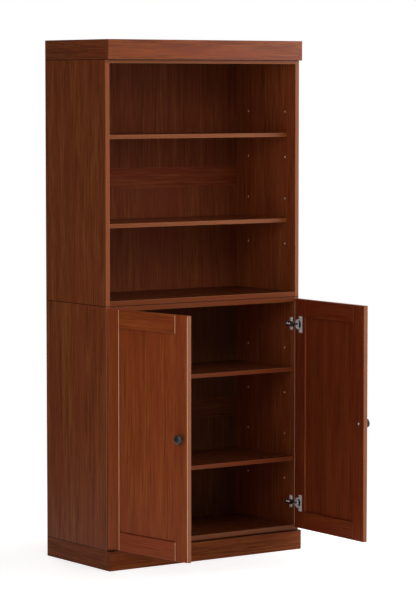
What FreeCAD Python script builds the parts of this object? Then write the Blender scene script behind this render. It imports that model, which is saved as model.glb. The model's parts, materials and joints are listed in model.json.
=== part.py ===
import FreeCAD, Part
import os
import re
import Sketcher
from FreeCAD import Placement, Rotation, Vector

# A tall bookcase in two stacked units: open shelves above, a cabinet with two framed doors
# below, a cap frame on top and a plinth frame underneath.
# Frame: X to the right, Y to the back, Z up, origin on the floor under the carcass's middle.
# The doors stand open. A door is drawn closed, round its hinge axis, and is then turned.

document = FreeCAD.newDocument("bookcase")

# Every size that can be set by itself, in millimetres and degrees.
drivingSizes = {
    # carcass
    "overallWidth": "813",
    "overallHeight": "1800",
    "carcassDepth": "382",
    "seamHeight": "900",  # where the upper unit stands on the lower one
    "sideThickness": "16",
    "panelThickness": "18",  # the fixed panels at the seam and at the cabinet's floor
    "topPanelThickness": "16",
    "topPanelProud": "4",  # the top panel stands up into the cap frame
    "boardArris": "1.5",
    # cap and plinth frames
    "capHeight": "68",
    "plinthHeight": "68",
    "frontBoardThickness": "18",
    "trimThickness": "16",
    "blockSize": "30",  # square corner blocks
    "plinthBlockHeight": "30",
    "blockScrewInset": "8",  # from the block's inner faces
    "trimDowelInset": "17",  # from a frame's lower and upper edge
    # back
    "backThickness": "5",
    "backInset": "25",  # from the carcass's rear edge
    "grooveDepth": "6",
    "groovePlay": "0.2",  # a groove's width over the panel's thickness
    "backPlay": "0.5",  # left at the bottom of a groove
    "railThickness": "16",
    "railHeight": "70",
    "railProud": "2",  # the rail's face stands ahead of the back panels
    "patternFromSeam": "419",  # middle of each unit's hole pattern and back rail
    # shelves and the holes for their pins
    "shelfThickness": "14",
    "shelfEndPlay": "1",
    "shelfBackGap": "2",
    "upperShelfSetback": "48",
    "lowerShelfSetback": "10",
    "upperShelfRow": "151",  # rows above and below the pattern's middle
    "lowerShelfRow": "159.5",
    "innerFreeRow": "73.5",
    "outerFreeRow": "233.5",
    "frontColumnInset": "61",
    "rearColumnInset": "101",
    "pinDiameter": "5",
    "pinLength": "16",
    "pinSeat": "8",  # length of a pin inside the side panel
    "pinHoleDepth": "9",
    "pinRise": "6",  # a pin's axis above its shelf's underside
    "pinPlay": "0.4",
    # carcass fittings
    "fixingAxisDepth": "10",  # bolts and dowels below a panel's hidden face
    "camInset": "60",  # from the carcass's front and rear edges
    "fixingSpacing": "32",  # from a cam bolt to its dowel
    "railFixing": "17.5",  # a rail's bolt and dowel, above and below its middle
    "camDiameter": "15",
    "camPlay": "0.1",
    "camBoreDepth": "13.5",
    "camFaceDrop": "0.3",
    "camDistance": "34",  # from a panel's end to the cam's axis
    "camCavityDiameter": "9",
    "camSlotWidth": "4",
    "boltThreadDiameter": "5",
    "boltThreadLength": "11",
    "boltShankDiameter": "6",
    "boltBoreDiameter": "7",
    "boltNeckDiameter": "3.4",
    "boltHeadDiameter": "6",
    "boltHeadLength": "3",
    "dowelDiameter": "8",
    "dowelLength": "30",
    "dowelInFace": "10",  # length of a dowel inside the face that it enters
    "dowelPlay": "0.5",
    "dowelChamfer": "1",
    "locatorRow": "40",  # upright dowels, ahead of and behind the middle
    # screws
    "frameScrewDiameter": "4",
    "frameScrewHead": "8",
    "blockScrewLength": "45",
    "unitScrewLength": "30",
    "unitScrewInset": "140",
    "hingeScrewDiameter": "3.5",
    "hingeScrewHead": "7",
    "hingeScrewLength": "13",
    "armScrewDiameter": "4",
    "armScrewHead": "7",
    "armScrewLength": "7.5",
    "knobScrewDiameter": "4",
    "knobScrewHead": "9",
    "knobScrewPlay": "0.2",
    "knobScrewGrip": "10",  # length inside the knob
    "screwHeadHeight": "2",
    "driveRim": "1.6",  # metal left round a head's cross recess
    "driveWidth": "1.2",
    "driveDepth": "1.1",
    # doors
    "doorThickness": "18",
    "doorGap": "2.5",  # between a closed door and the carcass
    "doorSideReveal": "2",
    "doorCentreGap": "3",
    "doorBottomGap": "10",
    "doorTopGap": "6",
    "doorArris": "2",
    "stileWidth": "60",
    "doorRailWidth": "63",
    "doorPanelThickness": "6",
    "doorGrooveDepth": "8",
    "doorPanelPlay": "1",
    "leftOpen": "82.5",
    "rightOpen": "88.8",
    # knobs
    "knobDiameter": "32",
    "knobProjection": "22",
    "knobHeadHeight": "11",
    "knobNeckDiameter": "13",
    "knobFootDiameter": "18",
    "knobFootHeight": "3",
    "knobRound": "3.5",
    "knobEdgeDistance": "28",
    # hinges
    "pivotInset": "10",  # hinge axis, from the side's outer face
    "pivotAhead": "11.5",  # hinge axis, ahead of the carcass
    "hingeEndDistance": "90",
    "cupDiameter": "35",
    "cupDepth": "12.5",
    "cupWall": "1",
    "cupEdgeDistance": "4",
    "flangeThickness": "1",
    "flangeRim": "1",
    "flangeHeight": "58",
    "flangeNear": "4",  # the flange's bar, from the cup's axis
    "flangeFar": "23",
    "cupScrewOffset": "9.5",
    "cupScrewRow": "22.5",
    "hingePinDiameter": "2.5",
    "hingePinPlay": "0.05",  # round the pin, in the arm's eye
    "eyeDiameter": "4.4",
    "lugWidth": "4.8",
    "lugGap": "0.2",
    "lugThickness": "1.8",
    "linkThickness": "2",
    "linkHeight": "8",
    "linkReach": "21",
    "linkBend": "10.5",
    "armInset": "4",  # from the carcass's front edge
    "armLength": "36",
    "armHeight": "18",
    "armProjection": "10",
    "armWall": "1.2",
    "plateInset": "10",
    "plateLength": "36",
    "plateHeight": "16",
    "plateThickness": "2",
    "wingLength": "15",
    "wingHeight": "44",
    "plateScrewInset": "20",
    "plateScrewRow": "16",
    "ridgeHeight": "10",
    "ridgeMargin": "2",
    "ridgePlay": "0.3",
    "adjustingScrewInset": "22",
    "fixingScrewInset": "33.5",
}

# What follows from those sizes.
layoutFormulas = {
    # across, from the middle
    "sideOuter": "overallWidth / 2",
    "sideInner": "sideOuter - sideThickness",
    "sideMiddle": "sideOuter - sideThickness / 2",
    "backHalf": "sideInner + grooveDepth - backPlay",
    "shelfHalf": "sideInner - shelfEndPlay",
    "pinEnd": "sideInner - pinLength + pinSeat",
    "camAcross": "sideInner - camDistance",
    "blockInner": "sideInner - blockSize",
    "blockScrewAcross": "blockInner + blockScrewInset",
    "unitScrewAcross": "sideInner - unitScrewInset",
    # from front to back
    "carcassBack": "carcassDepth / 2",
    "carcassFront": "-carcassBack",
    "trimFront": "carcassFront - frontBoardThickness",
    "trimBack": "carcassBack - trimThickness",
    "trimBackMiddle": "carcassBack - trimThickness / 2",
    "backRear": "carcassBack - backInset",
    "backFront": "backRear - backThickness",
    "grooveFront": "backFront - groovePlay / 2",
    "grooveRear": "backRear + groovePlay / 2",
    "railFront": "backFront - railProud",
    "railRear": "railFront + railThickness",
    "railAxis": "railRear - fixingAxisDepth",
    "frontColumn": "carcassFront + frontColumnInset",
    "rearColumn": "carcassBack - rearColumnInset",
    "camRow": "carcassBack - camInset",
    "dowelRow": "camRow - fixingSpacing",
    "frontBlock": "carcassFront + blockSize",
    "rearBlock": "trimBack - blockSize",
    "frontBlockScrew": "frontBlock - blockScrewInset",
    "rearBlockScrew": "rearBlock + blockScrewInset",
    # heights
    "sideTop": "overallHeight - capHeight",
    "topPanelHigh": "sideTop + topPanelProud",
    "topPanelLow": "topPanelHigh - topPanelThickness",
    "topPanelAxis": "topPanelHigh - fixingAxisDepth",
    "upperBottomHigh": "seamHeight + panelThickness",
    "upperBottomAxis": "seamHeight + fixingAxisDepth",
    "lowerTopLow": "seamHeight - panelThickness",
    "lowerTopAxis": "seamHeight - fixingAxisDepth",
    "lowerBottomHigh": "plinthHeight + panelThickness",
    "lowerBottomAxis": "plinthHeight + fixingAxisDepth",
    "upperPattern": "seamHeight + patternFromSeam",
    "lowerPattern": "seamHeight - patternFromSeam",
    "capTopLow": "overallHeight - trimThickness",
    "plinthBlockLow": "plinthHeight - plinthBlockHeight",
    "doorLow": "plinthHeight + doorBottomGap",
    "doorHigh": "seamHeight - doorTopGap",
    "doorMiddle": "(doorLow + doorHigh) / 2",
    "hingeHigh": "doorHigh - hingeEndDistance",
    "hingeLow": "doorLow + hingeEndDistance",
    # depths of holes
    "pinSlotDepth": "pinRise + pinDiameter / 2",
    "boltHoleDepth": "boltThreadLength + dowelPlay",
    "dowelFaceDepth": "dowelInFace + dowelPlay",
    "dowelEndDepth": "dowelLength - dowelInFace + dowelPlay",
    "locatorDepth": "(dowelLength + dowelPlay) / 2",
    "unitScrewDepth": "unitScrewLength - panelThickness",
    "capBlockScrewDepth": "blockScrewLength - topPanelThickness",
    "plinthScrewDepth": "blockScrewLength - plinthBlockHeight",
    # cam lock: the bolt's head bears on the cavity's wall beside the slot
    "camCavityDepth": "camBoreDepth - fixingAxisDepth + boltHeadDiameter / 2 + pinPlay",
    "boltShankEnd": "camDistance - camDiameter / 2 - dowelPlay",
    "boltHeadFace": "camDistance - sqrt(camCavityDiameter^2 - boltHeadDiameter^2) / 2",
    # the hinge axes, and the turn of the right door beyond the left one's
    "pivotAcross": "sideOuter - pivotInset",
    "pivotForward": "carcassFront - pivotAhead",
    "rightTurn": "rightOpen - leftOpen",
    "rightTurnX": "pivotAcross * (1 - cos(rightTurn)) + pivotForward * sin(rightTurn)",
    "rightTurnY": "pivotForward * (1 - cos(rightTurn)) - pivotAcross * sin(rightTurn)",
    # the left door, measured from its hinge axis
    "doorWidth": "sideOuter - doorSideReveal - doorCentreGap / 2",
    "hingeEdge": "doorSideReveal - pivotInset",
    "freeEdge": "hingeEdge + doorWidth",
    "doorInner": "pivotAhead - doorGap",
    "doorOuter": "doorInner - doorThickness",
    "doorCore": "doorInner - doorThickness / 2",
    "panelInner": "doorCore + doorPanelThickness / 2",
    "panelOuter": "doorCore - doorPanelThickness / 2",
    "doorGrooveInner": "panelInner + groovePlay / 2",
    "doorGrooveOuter": "panelOuter - groovePlay / 2",
    "hingeShoulder": "hingeEdge + stileWidth",
    "freeShoulder": "freeEdge - stileWidth",
    "topRailLow": "doorHigh - doorRailWidth",
    "bottomRailHigh": "doorLow + doorRailWidth",
    "panelReach": "doorGrooveDepth - doorPanelPlay",
    "knobAcross": "freeEdge - knobEdgeDistance",
    # a hinge, measured from its axis
    "sideFace": "sideThickness - pivotInset",
    "cupCentre": "hingeEdge + (cupEdgeDistance + cupDiameter / 2)",
    "cupFloor": "doorInner - cupDepth",
    "cupInside": "cupFloor + cupWall",
    "flangeFace": "doorInner + flangeThickness",
    "cupScrewAcross": "cupCentre + cupScrewOffset",
    "lugLow": "linkHeight / 2 + lugGap",
    "lugHigh": "lugLow + lugThickness",
    "armFront": "pivotAhead + armInset",
    "armRear": "armFront + armLength",
    "armOuter": "sideFace + armProjection",
    "plateFace": "sideFace + plateThickness",
    "plateFront": "pivotAhead + plateInset",
    "plateRear": "plateFront + plateLength",
    "plateScrewBack": "pivotAhead + plateScrewInset",
    "ridgeFace": "armOuter - armWall - ridgePlay",
    "adjustingScrewBack": "pivotAhead + adjustingScrewInset",
    "fixingScrewBack": "pivotAhead + fixingScrewInset",
}


def sheetNames(text, sheetOf):
    """Write the sheet's name before each size that a formula uses."""
    return re.sub(r"[a-z][A-Za-z]*", lambda found: sheetOf.get(found[0], "") + found[0], text)


def fillSheet(name, cells):
    sheet = document.addObject("Spreadsheet::Sheet", name)
    for row, (alias, content) in enumerate(cells.items(), start=1):
        sheet.set(f"A{row}", alias)
        sheet.set(f"B{row}", content)
        sheet.setAlias(f"B{row}", alias)
    document.recompute()
    return sheet


sizesPrefix = dict.fromkeys(drivingSizes, "Sizes.")
bothPrefixes = {**sizesPrefix, **dict.fromkeys(layoutFormulas, "Layout.")}
sizes = fillSheet("Sizes", drivingSizes)
layout = fillSheet(
    "Layout",
    {alias: "=" + sheetNames(text, sizesPrefix) for alias, text in layoutFormulas.items()},
)


def formula(text):
    return sheetNames(text, bothPrefixes)


def number(alias):
    """The present value of one named size, for pieces placed as copies."""
    return float((sizes if alias in drivingSizes else layout).get(alias))


# For each origin plane: the axes across and up its sketches, and the one along its normal.
planeAxes = {"XY_Plane": (0, 1, 2), "XZ_Plane": (0, 2, 1), "YZ_Plane": (1, 2, 0)}

# A box's faces: an edge lies on one where its own limit meets the box's limit.
faceLimits = {
    "left": ("XMax", "XMin"),
    "right": ("XMin", "XMax"),
    "front": ("YMax", "YMin"),
    "back": ("YMin", "YMax"),
    "low": ("ZMax", "ZMin"),
    "high": ("ZMin", "ZMax"),
}
frontEdges = ("front left", "front right", "front low", "front high")
backEdges = ("back left", "back right", "back low", "back high")
tolerance = 0.001


def rectangle(across, up):
    return [(across[0], up[0]), (across[1], up[0]), (across[1], up[1]), (across[0], up[1])]


def addConstraint(sketch, text, *arguments):
    """Add a constraint that takes its value from a formula; it starts at 1."""
    index = sketch.addConstraint(Sketcher.Constraint(*arguments, 1.0))
    sketch.setExpression(f"Constraints[{index}]", formula(text))


def drawCircle(sketch, across, up, diameter):
    circle = sketch.addGeometry(Part.Circle(Vector(1, 1, 0), Vector(0, 0, 1), 1), False)
    addConstraint(sketch, across, "DistanceX", -1, 1, circle, 3)
    addConstraint(sketch, up, "DistanceY", -1, 1, circle, 3)
    addConstraint(sketch, diameter, "Diameter", circle)


def drawPolygon(sketch, points):
    """Join the points by lines; each point is held by its distances from the sketch's origin."""
    first = sketch.GeometryCount
    count = len(points)
    spots = [Vector(spot, spot * spot, 0) for spot in range(count)]
    lines = [Part.LineSegment(spots[i], spots[(i + 1) % count]) for i in range(count)]
    sketch.addGeometry(lines, False)
    for i, (across, up) in enumerate(points):
        following = first + (i + 1) % count
        sketch.addConstraint(Sketcher.Constraint("Coincident", first + i, 2, following, 1))
        addConstraint(sketch, across, "DistanceX", -1, 1, first + i, 1)
        addConstraint(sketch, up, "DistanceY", -1, 1, first + i, 1)


class Piece:
    """A PartDesign body. It is drawn in the coordinates of the bookcase, or of the door or
    fitting that it belongs to, and its own origin is at the given corner."""

    def __init__(self, label, corner=("0", "0", "0")):
        self.body = document.addObject("PartDesign::Body", label)
        self.corner = corner
        for axis, text in zip("xyz", corner):
            self.body.setExpression(f"Placement.Base.{axis}", formula(text))

    def fromCorner(self, axis, text):
        return f"({text}) - ({self.corner[axis]})"

    def sketch(self, plane, level, outlines):
        """A sketch parallel to an origin plane. An outline is a list of points, or a tuple that
        holds a circle's centre and diameter."""
        across, up, normal = planeAxes[plane]
        sketch = self.body.newObject("Sketcher::SketchObject", f"{self.body.Name}_sketch")
        origin = self.body.Origin.OriginFeatures
        sketch.AttachmentSupport = (next(item for item in origin if item.Role == plane), "")
        sketch.MapMode = "FlatFace"
        direction = "-" if plane == "XZ_Plane" else ""
        offset = f"{direction}({self.fromCorner(normal, level)})"
        sketch.setExpression("AttachmentOffset.Base.z", formula(offset))
        for outline in outlines:
            if isinstance(outline, tuple):
                centre = self.fromCorner(across, outline[0]), self.fromCorner(up, outline[1])
                drawCircle(sketch, *centre, outline[2])
            else:
                points = [
                    (self.fromCorner(across, one), self.fromCorner(up, other))
                    for one, other in outline
                ]
                drawPolygon(sketch, points)
        return sketch

    def pad(self, plane, level, height, outlines):
        """Add material from a level towards +X, +Y or +Z."""
        pad = self.body.newObject("PartDesign::Pad", f"{self.body.Name}_pad")
        pad.Profile = self.sketch(plane, level, outlines)
        pad.setExpression("Length", formula(height))
        pad.Reversed = plane == "XZ_Plane"
        return pad

    def cut(self, plane, level, towards, depth, outlines):
        """Remove material from a level, towards +1 or -1 along the plane's axis."""
        pocket = self.body.newObject("PartDesign::Pocket", f"{self.body.Name}_pocket")
        pocket.Profile = self.sketch(plane, level, outlines)
        pocket.setExpression("Length", formula(depth))
        pocket.Reversed = (towards > 0) != (plane == "XZ_Plane")

    def turn(self, profile):
        """Turn a profile of radii and heights round the Z axis."""
        revolution = self.body.newObject("PartDesign::Revolution", f"{self.body.Name}_turned")
        revolution.Profile = self.sketch("XZ_Plane", "0", [profile])
        origin = self.body.Origin.OriginFeatures
        revolution.ReferenceAxis = (next(item for item in origin if item.Role == "Z_Axis"), "")
        revolution.Angle = 360
        return revolution

    def roundEdges(self, feature, radius, isRounded):
        document.recompute()
        chosen = [
            f"Edge{index}"
            for index, edge in enumerate(feature.Shape.Edges, start=1)
            if isRounded(edge.BoundBox, feature.Shape.BoundBox)
        ]
        fillet = self.body.newObject("PartDesign::Fillet", f"{self.body.Name}_arris")
        fillet.Base = (feature, chosen)
        fillet.setExpression("Radius", formula(radius))


nodes = {}


def board(label, across, back, up, arrises=(), radius="boardArris", corner=None):
    """A plain board between pairs of planes, with some of its edges rounded."""
    piece = Piece(label, corner or (across[0], back[0], up[0]))
    pad = piece.pad("XY_Plane", up[0], f"({up[1]}) - ({up[0]})", [rectangle(across, back)])

    def isRounded(edge, box):
        def isOn(face):
            edgeLimit, boxLimit = faceLimits[face]
            return abs(getattr(edge, edgeLimit) - getattr(box, boxLimit)) < tolerance

        return any(all(isOn(face) for face in arris.split()) for arris in arrises)

    if arrises:
        piece.roundEdges(pad, radius, isRounded)
    nodes[label] = piece.body
    return piece


def mirrorNode(source):
    """The right-hand twin of a left-hand node."""
    label = source.replace("left", "right")
    twin = document.addObject("Part::Mirroring", label)
    twin.Source = nodes[source]
    twin.Normal = Vector(1, 0, 0)
    nodes[label] = twin
    return twin


def copiesNode(label, master, places):
    """One node that holds separate copies of a master piece."""
    copies = []
    for place in places:
        copy = master.body.Shape.copy()
        copy.Placement = place
        copies.append(copy)
    nodes[label] = document.addObject("Part::Feature", label)
    nodes[label].Shape = Part.makeCompound(copies)
    return nodes[label]


# ---- side panels ----


def makeSide(unit, low, high, pattern, shelfRow, panelAxes):
    side = board(
        f"{unit}_left_side",
        ("-sideOuter", "-sideInner"),
        ("carcassFront", "carcassBack"),
        (low, high),
        ("front left", "front right"),
    )
    rows = [f"{sign} {row}" for sign in "+-" for row in ("innerFreeRow", "outerFreeRow", shelfRow)]
    pinHoles = [
        (column, f"{pattern} {row}", "pinDiameter")
        for column in ("frontColumn", "rearColumn")
        for row in rows
    ]
    side.cut("YZ_Plane", "-sideInner", -1, "pinHoleDepth", pinHoles)
    grooves = [
        rectangle(("grooveFront", "grooveRear"), (low, f"{pattern} - railHeight / 2 + grooveDepth")),
        rectangle(("grooveFront", "grooveRear"), (f"{pattern} + railHeight / 2 - grooveDepth", high)),
    ]
    side.cut("YZ_Plane", "-sideInner", -1, "grooveDepth", grooves)
    bolts = [(f"{sign}camRow", axis, "boltThreadDiameter") for axis in panelAxes for sign in ("-", "")]
    bolts.append(("railAxis", f"{pattern} + railFixing", "boltThreadDiameter"))
    side.cut("YZ_Plane", "-sideInner", -1, "boltHoleDepth", bolts)
    dowels = [(f"{sign}dowelRow", axis, "dowelDiameter") for axis in panelAxes for sign in ("-", "")]
    dowels.append(("railAxis", f"{pattern} - railFixing", "dowelDiameter"))
    side.cut("YZ_Plane", "-sideInner", -1, "dowelFaceDepth", dowels)
    boreLocators(side, low, 1)
    boreLocators(side, high, -1)
    return side


def boreLocators(piece, level, towards):
    """Holes for the upright dowels in the end of a side panel or in a frame's end board."""
    holes = [("-sideMiddle", f"{sign}locatorRow", "dowelDiameter") for sign in ("-", "")]
    piece.cut("XY_Plane", level, towards, "locatorDepth", holes)


upperAxes = ("topPanelAxis", "upperBottomAxis")
makeSide("upper", "seamHeight", "sideTop", "upperPattern", "upperShelfRow", upperAxes)
lowerAxes = ("lowerTopAxis", "lowerBottomAxis")
lowerSide = makeSide(
    "lower", "plinthHeight", "seamHeight", "lowerPattern", "lowerShelfRow", lowerAxes
)
plateScrewHoles = [
    ("carcassFront + plateScrewInset", f"{hinge} {sign} plateScrewRow", "hingeScrewDiameter")
    for hinge in ("hingeLow", "hingeHigh")
    for sign in "+-"
]
lowerSide.cut(
    "YZ_Plane", "-sideInner", -1, "hingeScrewLength - plateThickness", plateScrewHoles
)


# ---- fixed panels ----


def makePanel(label, low, high, axis, hidden):
    """A fixed panel with its cams in the hidden face and the back's groove in the other."""
    panel = board(
        label,
        ("-sideInner", "sideInner"),
        ("carcassFront", "carcassBack"),
        (low, high),
        ("front low", "front high"),
    )
    for end, towards in (("-sideInner", 1), ("sideInner", -1)):
        bolts = [(f"{sign}camRow", axis, "boltBoreDiameter") for sign in ("-", "")]
        panel.cut("YZ_Plane", end, towards, "camDistance", bolts)
        dowels = [(f"{sign}dowelRow", axis, "dowelDiameter") for sign in ("-", "")]
        panel.cut("YZ_Plane", end, towards, "dowelEndDepth", dowels)
    cams = [(f"{x}camAcross", f"{y}camRow", "camDiameter") for x in ("-", "") for y in ("-", "")]
    groove = rectangle(("-sideInner", "sideInner"), ("grooveFront", "grooveRear"))
    if hidden == low:
        panel.cut("XY_Plane", low, 1, "camBoreDepth", cams)
        panel.cut("XY_Plane", high, -1, "grooveDepth", [groove])
    else:
        panel.cut("XY_Plane", high, -1, "camBoreDepth", cams)
        panel.cut("XY_Plane", low, 1, "grooveDepth", [groove])
    return panel


topPanel = makePanel(
    "upper_top_panel", "topPanelLow", "topPanelHigh", "topPanelAxis", "topPanelHigh"
)
upperBottom = makePanel(
    "upper_bottom_panel", "seamHeight", "upperBottomHigh", "upperBottomAxis", "seamHeight"
)
lowerTop = makePanel("lower_top_panel", "lowerTopLow", "seamHeight", "lowerTopAxis", "seamHeight")
lowerBottom = makePanel(
    "lower_bottom_panel", "plinthHeight", "lowerBottomHigh", "lowerBottomAxis", "plinthHeight"
)

unitScrewHoles = [
    (f"{x}unitScrewAcross", f"{y}camRow", "frameScrewDiameter") for x in ("-", "") for y in ("-", "")
]
lowerTop.cut("XY_Plane", "lowerTopLow", 1, "panelThickness", unitScrewHoles)
upperBottom.cut("XY_Plane", "seamHeight", 1, "unitScrewDepth", unitScrewHoles)
blockScrewHoles = [
    (f"{x}blockScrewAcross", y, "frameScrewDiameter")
    for x in ("-", "")
    for y in ("frontBlockScrew", "rearBlockScrew")
]
topPanel.cut("XY_Plane", "topPanelLow", 1, "topPanelThickness", blockScrewHoles)
lowerBottom.cut("XY_Plane", "plinthHeight", 1, "plinthScrewDepth", blockScrewHoles)


# ---- back rails and back panels ----


def makeBack(unit, floor, ceiling, pattern):
    """A rail across the middle of a unit's back, and the thin panels below and above it."""
    low = f"{pattern} - railHeight / 2"
    high = f"{pattern} + railHeight / 2"
    rail = board(
        f"{unit}_back_rail", ("-sideInner", "sideInner"), ("railFront", "railRear"), (low, high)
    )
    for end, towards in (("-sideInner", 1), ("sideInner", -1)):
        bolt = ("railAxis", f"{pattern} + railFixing", "boltBoreDiameter")
        rail.cut("YZ_Plane", end, towards, "camDistance", [bolt])
        dowel = ("railAxis", f"{pattern} - railFixing", "dowelDiameter")
        rail.cut("YZ_Plane", end, towards, "dowelEndDepth", [dowel])
    cams = [(f"{sign}camAcross", f"{pattern} + railFixing", "camDiameter") for sign in ("-", "")]
    rail.cut("XZ_Plane", "railRear", -1, "camBoreDepth", cams)
    groove = rectangle(("-sideInner", "sideInner"), ("grooveFront", "grooveRear"))
    rail.cut("XY_Plane", low, 1, "grooveDepth", [groove])
    rail.cut("XY_Plane", high, -1, "grooveDepth", [groove])
    reach = "grooveDepth - backPlay"
    for place, bottom, top in (("low", floor, low), ("high", high, ceiling)):
        board(
            f"{unit}_back_panel_{place}",
            ("-backHalf", "backHalf"),
            ("backFront", "backRear"),
            (f"{bottom} - ({reach})", f"{top} + ({reach})"),
        )


makeBack("upper", "upperBottomHigh", "topPanelLow", "upperPattern")
makeBack("lower", "lowerBottomHigh", "lowerTopLow", "lowerPattern")


# ---- shelves ----


def makeShelf(label, row, setback):
    """A shelf with a slot under each corner that sits down over its pin."""
    low = f"{row} - pinRise"
    shelf = board(
        label,
        ("-shelfHalf", "shelfHalf"),
        (f"carcassFront + {setback}", "railFront - shelfBackGap"),
        (low, f"{low} + shelfThickness"),
        ("front low", "front high"),
    )
    slots = []
    for column in ("frontColumn", "rearColumn"):
        width = [f"{column} {sign} (pinDiameter + pinPlay) / 2" for sign in "-+"]
        slots.append(rectangle(("pinEnd - pinPlay", "shelfHalf"), width))
        slots.append(rectangle(("-shelfHalf", "-pinEnd + pinPlay"), width))
    shelf.cut("XY_Plane", low, 1, "pinSlotDepth", slots)


for unit in ("upper", "lower"):
    for place, sign in (("low", "-"), ("high", "+")):
        row = f"{unit}Pattern {sign} {unit}ShelfRow"
        makeShelf(f"{unit}_shelf_{place}", row, f"{unit}ShelfSetback")


# ---- cap and plinth frames ----


def makeTrimFrame(frame, low, high, backLow, carcassLevel):
    """A front board, two end boards in line with the sides, and a board across the back."""
    heights = (f"{low} + trimDowelInset", f"{high} - trimDowelInset")
    frontBoard = board(
        f"{frame}_front",
        ("-sideOuter", "sideOuter"),
        ("trimFront", "carcassFront"),
        (low, high),
        frontEdges,
    )
    frontHoles = [(f"{x}sideMiddle", z, "dowelDiameter") for x in ("-", "") for z in heights]
    frontBoard.cut("XZ_Plane", "carcassFront", -1, "dowelFaceDepth", frontHoles)
    endBoard = board(
        f"{frame}_left_end",
        ("-sideOuter", "-sideInner"),
        ("carcassFront", "carcassBack"),
        (low, high),
    )
    endHoles = [("-sideMiddle", z, "dowelDiameter") for z in heights]
    endBoard.cut("XZ_Plane", "carcassFront", 1, "dowelEndDepth", endHoles)
    backHoles = [("trimBackMiddle", z, "dowelDiameter") for z in heights]
    endBoard.cut("YZ_Plane", "-sideInner", -1, "dowelFaceDepth", backHoles)
    boreLocators(endBoard, carcassLevel, 1 if carcassLevel == low else -1)
    backBoard = board(
        f"{frame}_back",
        ("-sideInner", "sideInner"),
        ("trimBack", "carcassBack"),
        (backLow, high),
    )
    backBoard.cut("YZ_Plane", "-sideInner", 1, "dowelEndDepth", backHoles)
    backBoard.cut("YZ_Plane", "sideInner", -1, "dowelEndDepth", backHoles)


makeTrimFrame("cap", "sideTop", "overallHeight", "topPanelHigh", "sideTop")
makeTrimFrame("plinth", "0", "plinthHeight", "0", "plinthHeight")
board(
    "cap_top_board",
    ("-sideInner", "sideInner"),
    ("carcassFront", "trimBack"),
    ("capTopLow", "overallHeight"),
)


def makeBlock(label, height, boreDepth):
    """A corner block, drawn from the corner that faces the middle of its frame."""
    block = Piece(label)
    block.pad("XY_Plane", "0", height, [rectangle(("0", "blockSize"), ("0", "blockSize"))])
    bore = ("blockScrewInset", "blockScrewInset", "frameScrewDiameter")
    block.cut("XY_Plane", "0", 1, boreDepth, [bore])
    return block


capBlock = makeBlock("cap_block", "capTopLow - topPanelHigh", "capBlockScrewDepth")
plinthBlock = makeBlock("plinth_block", "plinthBlockHeight", "plinthBlockHeight")


# ---- doors ----


def hangOnDoor(node):
    """Stand a node of the left door on its hinge axis, turned to the angle that it is open."""
    node.setExpression("Placement.Base.x", formula("-pivotAcross"))
    node.setExpression("Placement.Base.y", formula("pivotForward"))
    node.setExpression("Placement.Rotation.Angle", formula("-leftOpen"))


def doorBoard(label, across, back, up, arrises=()):
    piece = board(f"left_door_{label}", across, back, up, arrises, "doorArris", ("0", "0", "0"))
    hangOnDoor(piece.body)
    return piece


doorFaces = ("doorOuter", "doorInner")
doorHeights = ("doorLow", "doorHigh")
grooveWidth = ("doorGrooveOuter", "doorGrooveInner")
allArrises = frontEdges + backEdges

hingeStile = doorBoard(
    "hinge_stile", ("hingeEdge", "hingeShoulder"), doorFaces, doorHeights, allArrises
)
hingeGroove = rectangle(("hingeShoulder - doorGrooveDepth", "hingeShoulder"), grooveWidth)
hingeStile.cut("XY_Plane", "doorLow", 1, "doorHigh - doorLow", [hingeGroove])
cupBores = [("cupCentre", hinge, "cupDiameter") for hinge in ("hingeLow", "hingeHigh")]
hingeStile.cut("XZ_Plane", "doorInner", -1, "cupDepth", cupBores)
cupScrewHoles = [
    ("cupScrewAcross", f"{hinge} {sign} cupScrewRow", "hingeScrewDiameter")
    for hinge in ("hingeLow", "hingeHigh")
    for sign in "+-"
]
hingeStile.cut(
    "XZ_Plane", "doorInner", -1, "hingeScrewLength - flangeThickness", cupScrewHoles
)

freeStile = doorBoard(
    "free_stile", ("freeShoulder", "freeEdge"), doorFaces, doorHeights, allArrises
)
freeGroove = rectangle(("freeShoulder", "freeShoulder + doorGrooveDepth"), grooveWidth)
freeStile.cut("XY_Plane", "doorLow", 1, "doorHigh - doorLow", [freeGroove])
knobHole = ("knobAcross", "doorMiddle", "knobScrewDiameter + knobScrewPlay")
freeStile.cut("XZ_Plane", "doorInner", -1, "doorThickness", [knobHole])


def makeDoorRail(label, low, high, grooveLevel):
    """A rail with a tongue at each end, and a groove along the edge that holds the panel."""
    rail = doorBoard(label, ("hingeShoulder", "freeShoulder"), doorFaces, (low, high), allArrises)
    tongueEnds = ("hingeShoulder - panelReach", "freeShoulder + panelReach")
    tongue = rectangle(tongueEnds, ("panelOuter", "panelInner"))
    rail.pad("XY_Plane", low, "doorRailWidth", [tongue])
    towards = 1 if grooveLevel == low else -1
    rail.cut(
        "XY_Plane", grooveLevel, towards, "doorGrooveDepth", [rectangle(tongueEnds, grooveWidth)]
    )


makeDoorRail("top_rail", "topRailLow", "doorHigh", "topRailLow")
makeDoorRail("bottom_rail", "doorLow", "bottomRailHigh", "bottomRailHigh")
doorBoard(
    "panel",
    ("hingeShoulder - panelReach", "freeShoulder + panelReach"),
    ("panelOuter", "panelInner"),
    ("bottomRailHigh - panelReach", "topRailLow + panelReach"),
)


# ---- turned hardware, each piece along its own Z axis ----


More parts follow.
